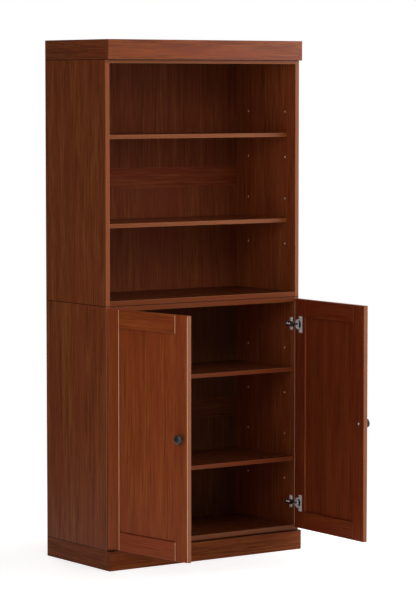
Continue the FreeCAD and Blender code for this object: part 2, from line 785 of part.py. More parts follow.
def makeScrew(label, diameter, head, length):
    """A screw with its head's seat at Z 0, its shank below and a cross recess in its head."""
    screw = Piece(label)
    radius = f"{diameter} / 2"
    headRadius = f"{head} / 2"
    profile = [
        ("0", "screwHeadHeight"),
        (f"{headRadius} - screwHeadHeight / 2", "screwHeadHeight"),
        (headRadius, "screwHeadHeight / 2"),
        (headRadius, "0"),
        (radius, "0"),
        (radius, f"-({length}) + {radius}"),
        ("0", f"-({length})"),
    ]
    screw.turn(profile)
    screw.cut("XY_Plane", "screwHeadHeight", -1, "driveDepth", [crossRecess(head)])
    return screw


def crossRecess(head):
    """The outline of a cross, between a head's two rims."""
    arm = f"({head} / 2 - driveRim)"
    half = "driveWidth / 2"
    corner = [(arm, half), (half, half), (half, arm)]
    outline = []
    for quarter in range(4):
        outline += corner
        corner = [(f"-({up})", across) for across, up in corner]
    return outline


hingeScrew = makeScrew(
    "hinge_screw", "hingeScrewDiameter", "hingeScrewHead", "hingeScrewLength"
)
armScrew = makeScrew("arm_screw", "armScrewDiameter", "armScrewHead", "armScrewLength")
blockScrew = makeScrew(
    "block_screw", "frameScrewDiameter", "frameScrewHead", "blockScrewLength"
)
unitScrew = makeScrew("unit_screw", "frameScrewDiameter", "frameScrewHead", "unitScrewLength")
knobScrew = makeScrew(
    "knob_screw", "knobScrewDiameter", "knobScrewHead", "doorThickness + knobScrewGrip"
)

shelfPin = Piece("shelf_pin")
shelfPin.turn(rectangle(("0", "pinDiameter / 2"), ("-pinSeat", "pinLength - pinSeat")))
hingePin = Piece("hinge_pin")
hingePin.turn(rectangle(("0", "hingePinDiameter / 2"), ("-lugHigh", "lugHigh")))


def makeDowel(label):
    """A dowel with chamfered ends, centred on its length."""
    dowel = Piece(label)
    radius = "dowelDiameter / 2"
    half = "dowelLength / 2"
    profile = [
        ("0", f"-{half}"),
        (f"{radius} - dowelChamfer", f"-{half}"),
        (radius, f"-{half} + dowelChamfer"),
        (radius, f"{half} - dowelChamfer"),
        (f"{radius} - dowelChamfer", half),
        ("0", half),
    ]
    dowel.turn(profile)
    return dowel


woodDowel = makeDowel("wood_dowel")


def makeBolt(label):
    """A cam bolt: its thread below Z 0, in the side panel, and its head inside the cam."""
    bolt = Piece(label)
    thread, shank, neck, head = (
        f"{part}Diameter / 2" for part in ("boltThread", "boltShank", "boltNeck", "boltHead")
    )
    profile = [
        ("0", "-boltThreadLength"),
        (thread, "-boltThreadLength"),
        (thread, "0"),
        (shank, "0"),
        (shank, "boltShankEnd"),
        (neck, "boltShankEnd"),
        (neck, "boltHeadFace"),
        (head, "boltHeadFace"),
        (head, "boltHeadFace + boltHeadLength"),
        ("0", "boltHeadFace + boltHeadLength"),
    ]
    bolt.turn(profile)
    return bolt


camBolt = makeBolt("cam_bolt")


def makeCam(label):
    """A cam lock with Z 0 at the panel's hidden face; its bolt comes from +X."""
    cam = Piece(label)
    cam.pad(
        "XY_Plane",
        "-camBoreDepth",
        "camBoreDepth - camFaceDrop",
        [("0", "0", "camDiameter - 2 * camPlay")],
    )
    cam.cut("XY_Plane", "-camBoreDepth", 1, "camCavityDepth", [("0", "0", "camCavityDiameter")])
    slot = rectangle(("0", "camDiameter"), ("-camSlotWidth / 2", "camSlotWidth / 2"))
    cam.cut("XY_Plane", "-camBoreDepth", 1, "camCavityDepth", [slot])
    cam.cut("XY_Plane", "-camFaceDrop", -1, "driveDepth", [crossRecess("camDiameter")])
    return cam


camLock = makeCam("cam_lock")


def makeKnob(label):
    """A round knob that stands on Z 0, with a bore for its screw."""
    knob = Piece(label)
    neck = "knobNeckDiameter / 2"
    foot = "knobFootDiameter / 2"
    head = "knobDiameter / 2"
    profile = [
        ("0", "0"),
        (foot, "0"),
        (foot, "knobFootHeight / 2"),
        (neck, "knobFootHeight"),
        (neck, "knobProjection - knobHeadHeight"),
        (head, "knobProjection - knobHeadHeight"),
        (head, "knobProjection"),
        ("0", "knobProjection"),
    ]
    turned = knob.turn(profile)
    knob.roundEdges(turned, "knobRound", lambda edge, box: edge.XLength > box.XLength - tolerance)
    knob.cut("XY_Plane", "0", 1, "knobScrewGrip + knobScrewPlay", [("0", "0", "knobScrewDiameter")])
    return knob


doorKnob = makeKnob("door_knob")


# ---- hinges, drawn round the hinge axis with the door closed ----


def makeCup(label):
    """The cup let into a door, its flange, and the two lugs that carry the pin."""
    cup = Piece(label)
    cup.pad("XZ_Plane", "cupFloor", "cupDepth", [("cupCentre", "0", "cupDiameter")])
    rim = ("cupCentre", "0", "cupDiameter + 2 * flangeRim")
    cup.pad("XZ_Plane", "doorInner", "flangeThickness", [rim])
    bar = rectangle(
        ("cupCentre + flangeNear", "cupCentre + flangeFar"),
        ("-flangeHeight / 2", "flangeHeight / 2"),
    )
    cup.pad("XZ_Plane", "doorInner", "flangeThickness", [bar])
    inside = ("cupCentre", "0", "cupDiameter - 2 * cupWall")
    cup.cut("XZ_Plane", "flangeFace", -1, "flangeFace - cupInside", [inside])
    lug = rectangle(("-lugWidth / 2", "lugWidth / 2"), ("cupInside", "lugWidth / 2"))
    cup.pad("XY_Plane", "lugLow", "lugThickness", [lug])
    cup.pad("XY_Plane", "-lugHigh", "lugThickness", [lug])
    cup.cut("XY_Plane", "lugHigh", -1, "2 * lugHigh", [("0", "0", "hingePinDiameter")])
    screwHoles = [("cupScrewAcross", f"{sign}cupScrewRow", "hingeScrewDiameter") for sign in ("-", "")]
    cup.cut("XZ_Plane", "flangeFace", -1, "flangeThickness", screwHoles)
    return cup


def makeArm(label):
    """The hinge arm: an eye round the pin, a bent link, and a channel over the plate's ridge."""
    arm = Piece(label)
    half = "linkThickness / 2"
    link = [
        ("0", f"-{half}"),
        ("linkReach", f"-{half}"),
        ("linkReach", "linkBend"),
        ("armOuter", "armFront + linkThickness"),
        ("armOuter - linkThickness", "armFront + linkThickness"),
        ("linkReach - linkThickness", "linkBend - linkThickness / 2"),
        ("linkReach - linkThickness", half),
        ("0", half),
    ]
    arm.pad("XY_Plane", "-linkHeight / 2", "linkHeight", [link])
    arm.pad("XY_Plane", "-linkHeight / 2", "linkHeight", [("0", "0", "eyeDiameter")])
    channel = rectangle(("plateFace", "armOuter"), ("armFront", "armRear"))
    arm.pad("XY_Plane", "-armHeight / 2", "armHeight", [channel])
    inside = rectangle(
        ("armFront + armWall", "armRear"), ("-armHeight / 2 + armWall", "armHeight / 2 - armWall")
    )
    arm.cut("YZ_Plane", "plateFace", 1, "armOuter - armWall - plateFace", [inside])
    eye = ("0", "0", "hingePinDiameter + 2 * hingePinPlay")
    arm.cut("XY_Plane", "linkHeight / 2", -1, "linkHeight", [eye])
    screwHoles = [(f"{screw}ScrewBack", "0", "armScrewDiameter") for screw in ("adjusting", "fixing")]
    arm.cut("YZ_Plane", "armOuter", -1, "armWall", screwHoles)
    return arm


def makePlate(label):
    """The plate screwed to the side panel, with two wings and the ridge inside the arm."""
    plate = Piece(label)
    base = rectangle(("plateFront", "plateRear"), ("-plateHeight / 2", "plateHeight / 2"))
    plate.pad("YZ_Plane", "sideFace", "plateThickness", [base])
    wings = rectangle(
        ("plateScrewBack - wingLength / 2", "plateScrewBack + wingLength / 2"),
        ("-wingHeight / 2", "wingHeight / 2"),
    )
    plate.pad("YZ_Plane", "sideFace", "plateThickness", [wings])
    ridge = rectangle(
        ("plateFront + ridgeMargin", "armRear - ridgeMargin"), ("-ridgeHeight / 2", "ridgeHeight / 2")
    )
    plate.pad("YZ_Plane", "plateFace", "ridgeFace - plateFace", [ridge])
    screwHoles = [("plateScrewBack", f"{sign}plateScrewRow", "hingeScrewDiameter") for sign in ("-", "")]
    plate.cut("YZ_Plane", "plateFace", -1, "plateThickness", screwHoles)
    tapped = [(f"{screw}ScrewBack", "0", "armScrewDiameter") for screw in ("adjusting", "fixing")]
    plate.cut("YZ_Plane", "ridgeFace", -1, "ridgeFace - plateFace", tapped)
    return plate


hingeCup = makeCup("hinge_cup")
hingeArm = makeArm("hinge_arm")
hingePlate = makePlate("hinge_plate")

document.recompute()


# ---- copies of the hardware, in place ----

left, right = Vector(-1, 0, 0), Vector(1, 0, 0)
front, back = Vector(0, -1, 0), Vector(0, 1, 0)
down, upward = Vector(0, 0, -1), Vector(0, 0, 1)
upright = Rotation()


def pointing(direction):
    """The turn that brings a piece's Z axis to a direction."""
    return Rotation(upward, direction)


hingeHeights = [number("hingeLow"), number("hingeHigh")]
axisPlaces = [Placement(Vector(0, 0, height), upright) for height in hingeHeights]
hangOnDoor(copiesNode("left_hinge_cups", hingeCup, axisPlaces))
hangOnDoor(copiesNode("left_hinge_pins", hingePin, axisPlaces))
cupScrewPlaces = [
    Placement(
        Vector(number("cupScrewAcross"), number("flangeFace"), height + sign * number("cupScrewRow")),
        pointing(back),
    )
    for height in hingeHeights
    for sign in (-1, 1)
]
hangOnDoor(copiesNode("left_cup_screws", hingeScrew, cupScrewPlaces))
knobSpot = Vector(number("knobAcross"), number("doorOuter"), number("doorMiddle"))
hangOnDoor(copiesNode("left_knob", doorKnob, [Placement(knobSpot, pointing(front))]))
knobScrewSpot = Vector(number("knobAcross"), number("doorInner"), number("doorMiddle"))
hangOnDoor(copiesNode("left_knob_screw", knobScrew, [Placement(knobScrewSpot, pointing(back))]))


def onSides(label, master, spots):
    """Copies at spots measured from the left hinge axes, and their twins on the right."""
    axes = [
        Vector(-number("pivotAcross"), number("pivotForward"), height) for height in hingeHeights
    ]
    placed = copiesNode(
        label, master, [Placement(axis + spot, turn) for axis in axes for spot, turn in spots]
    )
    twins = placed.Shape.mirror(Vector(0, 0, 0), right)
    placed.Shape = Part.makeCompound(placed.Shape.Solids + twins.Solids)


onSides("hinge_arms", hingeArm, [(Vector(0, 0, 0), upright)])
onSides("hinge_plates", hingePlate, [(Vector(0, 0, 0), upright)])
plateScrewSpots = [
    (
        Vector(number("plateFace"), number("plateScrewBack"), sign * number("plateScrewRow")),
        pointing(right),
    )
    for sign in (-1, 1)
]
onSides("hinge_plate_screws", hingeScrew, plateScrewSpots)
armScrewSpots = [
    (Vector(number("armOuter"), number(f"{screw}ScrewBack"), 0), pointing(right))
    for screw in ("adjusting", "fixing")
]
onSides("hinge_arm_screws", armScrew, armScrewSpots)

pinPlaces = [
    Placement(
        Vector(side * number("sideInner"), number(column), number(f"{unit}Pattern") + row),
        pointing(right * -side),
    )
    for side in (-1, 1)
    for column in ("frontColumn", "rearColumn")
    for unit in ("upper", "lower")
    for row in (-number(f"{unit}ShelfRow"), number(f"{unit}ShelfRow"))
]
copiesNode("shelf_pins", shelfPin, pinPlaces)

# The fixed panels' ends: the height of their fittings, and where their hidden face looks.
panelEnds = [
    (number("topPanelAxis"), upward),
    (number("upperBottomAxis"), down),
    (number("lowerTopAxis"), upward),
    (number("lowerBottomAxis"), down),
]
fixings = []
for side in (-1, 1):
    for height, hidden in panelEnds:
        for row in (-1, 1):
            bolt = Vector(side * number("sideInner"), row * number("camRow"), height)
            dowel = Vector(side * number("sideInner"), row * number("dowelRow"), height)
            fixings.append((side, bolt, dowel, hidden))
    for unit in ("upper", "lower"):
        middle = Vector(side * number("sideInner"), number("railAxis"), number(f"{unit}Pattern"))
        lift = upward * number("railFixing")
        fixings.append((side, middle + lift, middle - lift, back))

copiesNode(
    "cam_bolts",
    camBolt,
    [Placement(bolt, pointing(right * -side)) for side, bolt, dowel, hidden in fixings],
)
copiesNode(
    "cam_locks",
    camLock,
    [
        Placement(
            bolt - right * side * number("camDistance") + hidden * number("fixingAxisDepth"),
            Rotation(right * side, Vector(), hidden, "ZXY"),
        )
        for side, bolt, dowel, hidden in fixings
    ],
)

# A dowel's middle lies this far behind the face that its short end enters.
dowelShift = number("dowelLength") / 2 - number("dowelInFace")
dowelPlaces = [
    Placement(dowel - right * side * dowelShift, pointing(right))
    for side, bolt, dowel, hidden in fixings
]
trimHeights = [
    number("sideTop") + number("trimDowelInset"),
    number("overallHeight") - number("trimDowelInset"),
    number("trimDowelInset"),
    number("plinthHeight") - number("trimDowelInset"),
]
for side in (-1, 1):
    for height in trimHeights:
        corner = Vector(side * number("sideMiddle"), number("carcassFront") + dowelShift, height)
        dowelPlaces.append(Placement(corner, pointing(back)))
        corner = Vector(
            side * (number("sideInner") - dowelShift), number("trimBackMiddle"), height
        )
        dowelPlaces.append(Placement(corner, pointing(right)))
    for height in (number("sideTop"), number("seamHeight"), number("plinthHeight")):
        for row in (-number("locatorRow"), number("locatorRow")):
            joint = Vector(side * number("sideMiddle"), row, height)
            dowelPlaces.append(Placement(joint, upright))
copiesNode("wood_dowels", woodDowel, dowelPlaces)

# Corner blocks, quarter turns apart, so that each one's bored corner faces the middle.
blockCorners = [
    (number("blockInner"), number("rearBlock"), 0),
    (-number("blockInner"), number("rearBlock"), 90),
    (-number("blockInner"), number("frontBlock"), 180),
    (number("blockInner"), number("frontBlock"), 270),
]
for frame, block, level in (
    ("cap", capBlock, number("topPanelHigh")),
    ("plinth", plinthBlock, number("plinthBlockLow")),
):
    places = [
        Placement(Vector(x, y, level), Rotation(upward, angle)) for x, y, angle in blockCorners
    ]
    copiesNode(f"{frame}_corner_blocks", block, places)

blockScrewPlaces = [
    Placement(Vector(side * number("blockScrewAcross"), number(row), level), pointing(down))
    for side in (-1, 1)
    for row in ("frontBlockScrew", "rearBlockScrew")
    for level in (number("topPanelLow"), number("plinthBlockLow"))
]
copiesNode("block_screws", blockScrew, blockScrewPlaces)
unitScrewPlaces = [
    Placement(
        Vector(side * number("unitScrewAcross"), row * number("camRow"), number("lowerTopLow")),
        pointing(down),
    )
    for side in (-1, 1)
    for row in (-1, 1)
]
copiesNode("unit_screws", unitScrew, unitScrewPlaces)


# ---- right-hand twins ----

for label in ("upper_left_side", "lower_left_side", "cap_left_end", "plinth_left_end"):
    mirrorNode(label)
for label in [label for label in nodes if label.startswith("left_")]:
    twin = mirrorNode(label)
    twin.setExpression("Placement.Base.x", formula("rightTurnX"))
    twin.setExpression("Placement.Base.y", formula("rightTurnY"))
    twin.setExpression("Placement.Rotation.Angle", formula("rightTurn"))

document.recompute()


# ---- checks and files ----


def checkModel():
    for item in document.Objects:
        if "Invalid" in item.State or "Error" in item.State:
            raise RuntimeError(f"{item.Label} failed: {item.State}")
        base = getattr(item, "BaseFeature", None)
        if item.TypeId == "PartDesign::Pocket" and base.Shape.Volume - item.Shape.Volume < tolerance:
            raise RuntimeError(f"{item.Label} cuts nothing")
        if item.TypeId == "PartDesign::Pad" and base and item.Shape.Volume <= base.Shape.Volume:
            raise RuntimeError(f"{item.Label} adds nothing")
    for label, node in nodes.items():
        if node.Shape.isNull() or not node.Shape.isValid():
            raise RuntimeError(f"{label} has no valid shape")


checkModel()
os.makedirs("parts", exist_ok=True)
for label, node in nodes.items():
    node.Shape.exportStep(f"parts/{label}.step")
print(f"{len(nodes)} nodes written")
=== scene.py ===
import json
import math

import bmesh
import bpy
from mathutils import Matrix, Vector


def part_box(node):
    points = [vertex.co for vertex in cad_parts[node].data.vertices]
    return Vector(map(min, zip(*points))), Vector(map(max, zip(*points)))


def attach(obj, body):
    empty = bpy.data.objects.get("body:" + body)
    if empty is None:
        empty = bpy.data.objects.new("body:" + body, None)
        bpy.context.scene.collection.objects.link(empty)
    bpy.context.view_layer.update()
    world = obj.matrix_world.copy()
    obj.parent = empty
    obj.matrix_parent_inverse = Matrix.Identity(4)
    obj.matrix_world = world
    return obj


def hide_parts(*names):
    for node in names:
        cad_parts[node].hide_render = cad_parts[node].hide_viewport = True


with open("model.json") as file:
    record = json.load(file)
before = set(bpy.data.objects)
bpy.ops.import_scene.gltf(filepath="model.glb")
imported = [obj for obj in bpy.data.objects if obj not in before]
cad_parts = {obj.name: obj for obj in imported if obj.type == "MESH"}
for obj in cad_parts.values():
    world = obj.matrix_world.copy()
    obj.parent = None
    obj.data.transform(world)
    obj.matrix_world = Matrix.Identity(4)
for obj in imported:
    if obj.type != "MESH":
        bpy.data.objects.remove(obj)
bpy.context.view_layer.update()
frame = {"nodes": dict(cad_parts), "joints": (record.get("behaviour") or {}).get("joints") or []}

# A tall cherry bookcase with a two-door cabinet below, its doors standing open.
nodes = frame["nodes"]
joints = {joint["name"]: joint for joint in frame["joints"]}
print("frame loaded:", len(nodes), "nodes")


def addNode(tree, kind, **settings):
    node = tree.nodes.new(kind)
    for name, value in settings.items():
        setattr(node, name, value)
    return node


def feed(tree, socket, value):  # a socket is linked, anything else is typed in
    if isinstance(value, bpy.types.NodeSocket):
        tree.links.new(value, socket)
    else:
        socket.default_value = value


def wired(tree, kind, inputs, **settings):  # a new node with its inputs fed, by name or number
    node = addNode(tree, kind, **settings)
    for name, value in inputs.items():
        feed(tree, node.inputs[name], value)
    return node.outputs


def newGroup(name, inputs, outputs):
    tree = bpy.data.node_groups.new(name, "ShaderNodeTree")
    for label, (kind, value) in inputs.items():
        socket = tree.interface.new_socket(label, in_out="INPUT", socket_type=f"NodeSocket{kind}")
        if value is not None:
            socket.default_value = value
    for label, kind in outputs.items():
        tree.interface.new_socket(label, in_out="OUTPUT", socket_type=f"NodeSocket{kind}")
    return tree, addNode(tree, "NodeGroupInput").outputs, addNode(tree, "NodeGroupOutput").inputs


def placeGroup(tree, group, **values):
    inputs = {name.replace("_", " "): value for name, value in values.items()}
    return wired(tree, "ShaderNodeGroup", inputs, node_tree=group)


def maths(tree, operation, first, second=0.0, clamp=False):
    return wired(tree, "ShaderNodeMath", {0: first, 1: second}, operation=operation, use_clamp=clamp)[0]


def times(tree, first, second):
    return maths(tree, "MULTIPLY", first, second)


def vectorMaths(tree, operation, first, second):
    inputs = {0: first, "Scale" if operation == "SCALE" else 1: second}
    made = wired(tree, "ShaderNodeVectorMath", inputs, operation=operation)
    return made["Value" if operation == "DOT_PRODUCT" else "Vector"]


def axesOf(tree, vector):
    return wired(tree, "ShaderNodeSeparateXYZ", {0: vector})


def noise(tree, vector, scale, detail=2.0, roughness=0.5, distortion=0.0):
    inputs = {
        "Vector": vector,
        "Scale": scale,
        "Detail": detail,
        "Roughness": roughness,
        "Distortion": distortion,
    }
    return wired(tree, "ShaderNodeTexNoise", inputs)["Fac"]


def spread(tree, value, low, high, toLow=0.0, toHigh=1.0):
    inputs = dict(enumerate((value, low, high, toLow, toHigh)))
    return wired(tree, "ShaderNodeMapRange", inputs)["Result"]


def mixColour(tree, factor, first, second, blend="MIX"):
    inputs = {"Factor": factor, 6: first, 7: second}
    return wired(tree, "ShaderNodeMix", inputs, data_type="RGBA", blend_type=blend)[2]


def solid(colour):
    return (*colour, 1.0)


def addObject(name, data):
    made = bpy.data.objects.new(name, data)
    bpy.context.scene.collection.objects.link(made)
    return made


grainLayers = {  # share is how far a layer is squeezed along the grain, so that it runs long
    "bands": {"share": 0.05, "detail": 3.0, "roughness": 0.55, "distortion": 0.35, "weight": 0.22},
    "streaks": {"share": 0.02, "detail": 3.0, "roughness": 0.6, "distortion": 0.2, "weight": 0.58},
    "pores": {"share": 0.03, "detail": 2.0, "roughness": 0.6, "distortion": 0.0, "weight": 0.2},
    "tint": {"share": 0.1, "detail": 2.0, "roughness": 0.5, "distortion": 0.0},
}
grainTones = {
    "streakScale": 9.0,  # this and the next are times the band scale
    "tintScale": 0.8,
    "middle": 0.5,
    "darker": (0.36, 0.5),
    "lighter": (0.5, 0.64),
    "redder": (0.46, 0.62, 0.0, 0.5),
    "hairs": (0.36, 0.44, 1.0, 0.0),  # the darkest hairs are open pores
    "hairAmount": 0.45,
    "streakHeight": 0.5,
}


def makeWoodGrain():
    tree, given, made = newGroup(
        "woodGrain",
        {
            "Vector": ("Vector", None),
            "Direction": ("Vector", (0, 0, 1)),
            "Light": ("Color", None),
            "Middle": ("Color", None),
            "Dark": ("Color", None),
            "Red": ("Color", None),
            "Band Scale": ("Float", 26.0),
            "Pore Scale": ("Float", 520.0),
            "Contrast": ("Float", 1.0),
        },
        {"Colour": "Color", "Tone": "Float", "Height": "Float"},
    )
    along = vectorMaths(tree, "DOT_PRODUCT", given["Vector"], given["Direction"])
    bandScale = given["Band Scale"]
    scales = {
        "bands": bandScale,
        "streaks": times(tree, bandScale, grainTones["streakScale"]),
        "pores": given["Pore Scale"],
        "tint": times(tree, bandScale, grainTones["tintScale"]),
    }
    drawn = {}
    for name, look in grainLayers.items():
        shift = times(tree, along, look["share"] - 1.0)
        squeeze = vectorMaths(tree, "SCALE", given["Direction"], shift)
        vector = vectorMaths(tree, "ADD", given["Vector"], squeeze)
        drawn[name] = noise(
            tree, vector, scales[name], look["detail"], look["roughness"], look["distortion"]
        )

    tone = times(tree, drawn["bands"], grainLayers["bands"]["weight"])
    for name in ("streaks", "pores"):
        tone = maths(tree, "ADD", tone, times(tree, drawn[name], grainLayers[name]["weight"]))
    tone = maths(tree, "SUBTRACT", tone, grainTones["middle"])
    tone = times(tree, tone, given["Contrast"])
    tone = maths(tree, "ADD", tone, grainTones["middle"])

    hairs = spread(tree, drawn["pores"], *grainTones["hairs"])
    colour = mixColour(tree, spread(tree, tone, *grainTones["darker"]), given["Dark"], given["Middle"])
    colour = mixColour(tree, spread(tree, tone, *grainTones["lighter"]), colour, given["Light"])
    colour = mixColour(tree, spread(tree, drawn["tint"], *grainTones["redder"]), colour, given["Red"])
    colour = mixColour(tree, times(tree, hairs, grainTones["hairAmount"]), colour, given["Dark"])
    feed(tree, made["Colour"], colour)
    feed(tree, made["Tone"], tone)
    streaks = times(tree, drawn["streaks"], grainTones["streakHeight"])
    feed(tree, made["Height"], maths(tree, "SUBTRACT", streaks, hairs))
    return tree


edgePatchMask = {"samples": 4, "rounding": (0.99, 0.88), "patches": (0.35, 0.65), "detail": 3.0, "roughness": 0.6}


# a patchy mask along rounded edges: the boards paint it as wear with a painted highlight, the knob as rubbed
# wear
def makePatchyEdges():
    tree, given, made = newGroup(
        "patchyEdges",
        {"Vector": ("Vector", None), "Radius": ("Float", 0.001), "Patchiness": ("Float", 90.0)},
        {"Mask": "Float"},
    )
    rounded = wired(tree, "ShaderNodeBevel", {"Radius": given["Radius"]}, samples=edgePatchMask["samples"])
    flat = addNode(tree, "ShaderNodeNewGeometry").outputs
    alike = vectorMaths(tree, "DOT_PRODUCT", rounded["Normal"], flat["Normal"])
    edge = spread(tree, alike, *edgePatchMask["rounding"])
    patches = noise(
        tree, given["Vector"], given["Patchiness"], edgePatchMask["detail"], edgePatchMask["roughness"]
    )
    feed(tree, made["Mask"], times(tree, edge, spread(tree, patches, *edgePatchMask["patches"])))
    return tree


chips = {"pale": (0.50, 0.33, 0.18), "brown": (0.24, 0.13, 0.06), "mix": (0.3, 1.0), "roughness": 0.9}


def makeChipCore():
    tree, given, made = newGroup(
        "chipCore", {"Vector": ("Vector", None), "Chip Scale": ("Float", 480.0)},
        {"Colour": "Color", "Height": "Float"},
    )
    inputs = {"Vector": given["Vector"], "Scale": given["Chip Scale"]}
    cells = wired(tree, "ShaderNodeTexVoronoi", inputs, feature="F1")
    shade = wired(tree, "ShaderNodeSeparateColor", {0: cells["Color"]})[0]
    mix = spread(tree, shade, *chips["mix"])
    feed(tree, made["Colour"], mixColour(tree, mix, solid(chips["pale"]), solid(chips["brown"])))
    feed(tree, made["Height"], maths(tree, "SUBTRACT", 1.0, cells["Distance"]))
    return tree


def makeInsideBox():
    tree, given, made = newGroup(
        "insideBox",
        {"Vector": ("Vector", None), "Low": ("Vector", None), "High": ("Vector", None)},
        {"Mask": "Float"},
    )
    mask = None
    above = vectorMaths(tree, "SUBTRACT", given["Vector"], given["Low"])
    below = vectorMaths(tree, "SUBTRACT", given["High"], given["Vector"])
    for gap in (above, below):
        for side in axesOf(tree, gap):
            within = maths(tree, "GREATER_THAN", side, 0.0)
            mask = within if mask is None else times(tree, mask, within)
    feed(tree, made["Mask"], mask)
    return tree


def makeHoleRims():  # the pale ring and wall of each shelf pin's hole in a side, partly bare chipboard and partly a painted highlight
    tree, given, made = newGroup(
        "holeRims",
        {
            "Vector": ("Vector", None),
            "Middle Height": ("Float", 1.319),
            "Inner Row": ("Float", 0.0735),
            "Shelf Row": ("Float", 0.151),
            "Outer Row": ("Float", 0.2335),
            "Middle Depth": ("Float", -0.02),
            "Half Spacing": ("Float", 0.11),
            "Radius": ("Float", 0.0036),
            "Bore Floor": ("Float", 0.3999),
        },
        {"Mask": "Float"},
    )
    split = axesOf(tree, given["Vector"])
    inner = maths(tree, "LESS_THAN", maths(tree, "ABSOLUTE", split["X"]), given["Bore Floor"])

    def apart(value, middle):
        return maths(tree, "ABSOLUTE", maths(tree, "SUBTRACT", value, middle))

    up = apart(split["Z"], given["Middle Height"])
    row = apart(up, given["Inner Row"])
    for label in ("Shelf Row", "Outer Row"):
        row = maths(tree, "MINIMUM", row, apart(up, given[label]))
    column = apart(apart(split["Y"], given["Middle Depth"]), given["Half Spacing"])
    squares = maths(tree, "ADD", maths(tree, "POWER", row, 2.0), maths(tree, "POWER", column, 2.0))
    distance = maths(tree, "SQRT", squares)
    ring = maths(tree, "LESS_THAN", distance, given["Radius"])
    feed(tree, made["Mask"], times(tree, ring, inner))
    return tree


bandMask = {"faces": (0.1, 0.3), "rounding": (0.9, 0.985)}


def makeEdgeBandSheen():  # a board's edge, painted paler: its own banding, plus painted sheen where a door's edge faces the light; and the rounded arris along both its sides, painted as a highlight
    tree, given, made = newGroup(
        "edgeBandSheen",
        {
            "Normal": ("Vector", None),
            "Facing": ("Vector", (0, -1, 0)),
            "Plain Side": ("Vector", (0, 0, 0)),  # the side of a board whose edge and arris get no painted band or highlight
        },
        {"Band": "Float", "Arris Highlight": "Float"},
    )
    facing = vectorMaths(tree, "DOT_PRODUCT", given["Normal"], given["Facing"])
    plain = vectorMaths(tree, "DOT_PRODUCT", given["Normal"], given["Plain Side"])
    plain = spread(tree, plain, *bandMask["faces"], 1.0, 0.0)
    bandAndSheen = times(tree, spread(tree, facing, *bandMask["faces"]), plain)
    feed(tree, made["Band"], bandAndSheen)
    rounding = spread(tree, facing, *bandMask["rounding"], 1.0, 0.0)
    feed(tree, made["Arris Highlight"], times(tree, bandAndSheen, rounding))
    return tree


innerTurn = (0.6, 0.95)  # how squarely a door's face has to look inwards


def makeInnerFaceShade():  # the face of a door that looks into the cabinet when it is shut, which gets painted shade
    tree, given, made = newGroup(
        "innerFaceShade",
        {"Normal": ("Vector", None), "Inner Side": ("Vector", (0, 1, 0))},
        {"Mask": "Float"},
    )
    facing = vectorMaths(tree, "DOT_PRODUCT", given["Normal"], given["Inner Side"])
    feed(tree, made["Mask"], spread(tree, facing, *innerTurn))
    return tree


lineCore = 0.6  # the share of a painted shadow line's width that is dark right through


def makeShadowLine():  # the painted shadow line where one board stands on another, at up to three heights
    tree, given, made = newGroup(
        "shadowLine",
        {
            "Vector": ("Vector", None),
            "Low": ("Float", 0.0),
            "Middle": ("Float", 0.0),
            "High": ("Float", 0.0),
            "Half Width": ("Float", 0.0016),
        },
        {"Mask": "Float"},
    )
    up = axesOf(tree, given["Vector"])["Z"]
    nearest = None
    for label in ("Low", "Middle", "High"):
        apart = maths(tree, "ABSOLUTE", maths(tree, "SUBTRACT", up, given[label]))
        nearest = apart if nearest is None else maths(tree, "MINIMUM", nearest, apart)
    core = times(tree, given["Half Width"], lineCore)
    feed(tree, made["Mask"], spread(tree, nearest, core, given["Half Width"], 1.0, 0.0))
    return tree


marks = {
    "smearNoise": (70.0, 4.0, 0.6, 0.8),  # scale, detail, roughness and distortion
    "smears": (0.35, 0.75),
    "squeeze": (1.0, 1.0, 0.06),
    "scratchNoise": (1800.0, 2.0),
    "scratches": (0.56, 0.7),
    "scratchAmount": 0.6,
}


def makeHandling():  # faint smears and fine scratches, for plated metal and lacquer
    tree, given, made = newGroup(
        "handling", {"Vector": ("Vector", None), "Amount": ("Float", 0.1)}, {"Mask": "Float"}
    )
    smears = spread(tree, noise(tree, given["Vector"], *marks["smearNoise"]), *marks["smears"])
    squeezed = vectorMaths(tree, "MULTIPLY", given["Vector"], marks["squeeze"])
    scratches = spread(tree, noise(tree, squeezed, *marks["scratchNoise"]), *marks["scratches"])
    both = maths(tree, "ADD", smears, times(tree, scratches, marks["scratchAmount"]))
    feed(tree, made["Mask"], times(tree, both, given["Amount"]))
    return tree


woodGrain = makeWoodGrain()
patchyEdges = makePatchyEdges()
chipCore = makeChipCore()
insideBox = makeInsideBox()
holeRims = makeHoleRims()
edgeBandSheen = makeEdgeBandSheen()
innerFaceShade = makeInnerFaceShade()
shadowLine = makeShadowLine()
handling = makeHandling()
print("shader groups made")


def emptyMaterial(name):
    material = bpy.data.materials.new(name)
    material.use_nodes = True
    material.node_tree.nodes.clear()
    return material, material.node_tree


def newMaterial(name):
    material, tree = emptyMaterial(name)
    surface = addNode(tree, "ShaderNodeBsdfPrincipled")
    wired(tree, "ShaderNodeOutputMaterial", {"Surface": surface.outputs[0]})
    place = addNode(tree, "ShaderNodeTexCoord").outputs["Object"]
    return material, tree, surface.inputs, place


logStep = (0.37, 0.61, 1.13)  # metres between the places where two boards are cut from the log


def shifted(tree, place, seed):
    inputs = {"Vector": place, "Location": [step * seed for step in logStep]}
    return wired(tree, "ShaderNodeMapping", inputs, vector_type="POINT")["Vector"]


def bump(tree, height, distance):
    return wired(tree, "ShaderNodeBump", {"Distance": distance, "Height": height})["Normal"]


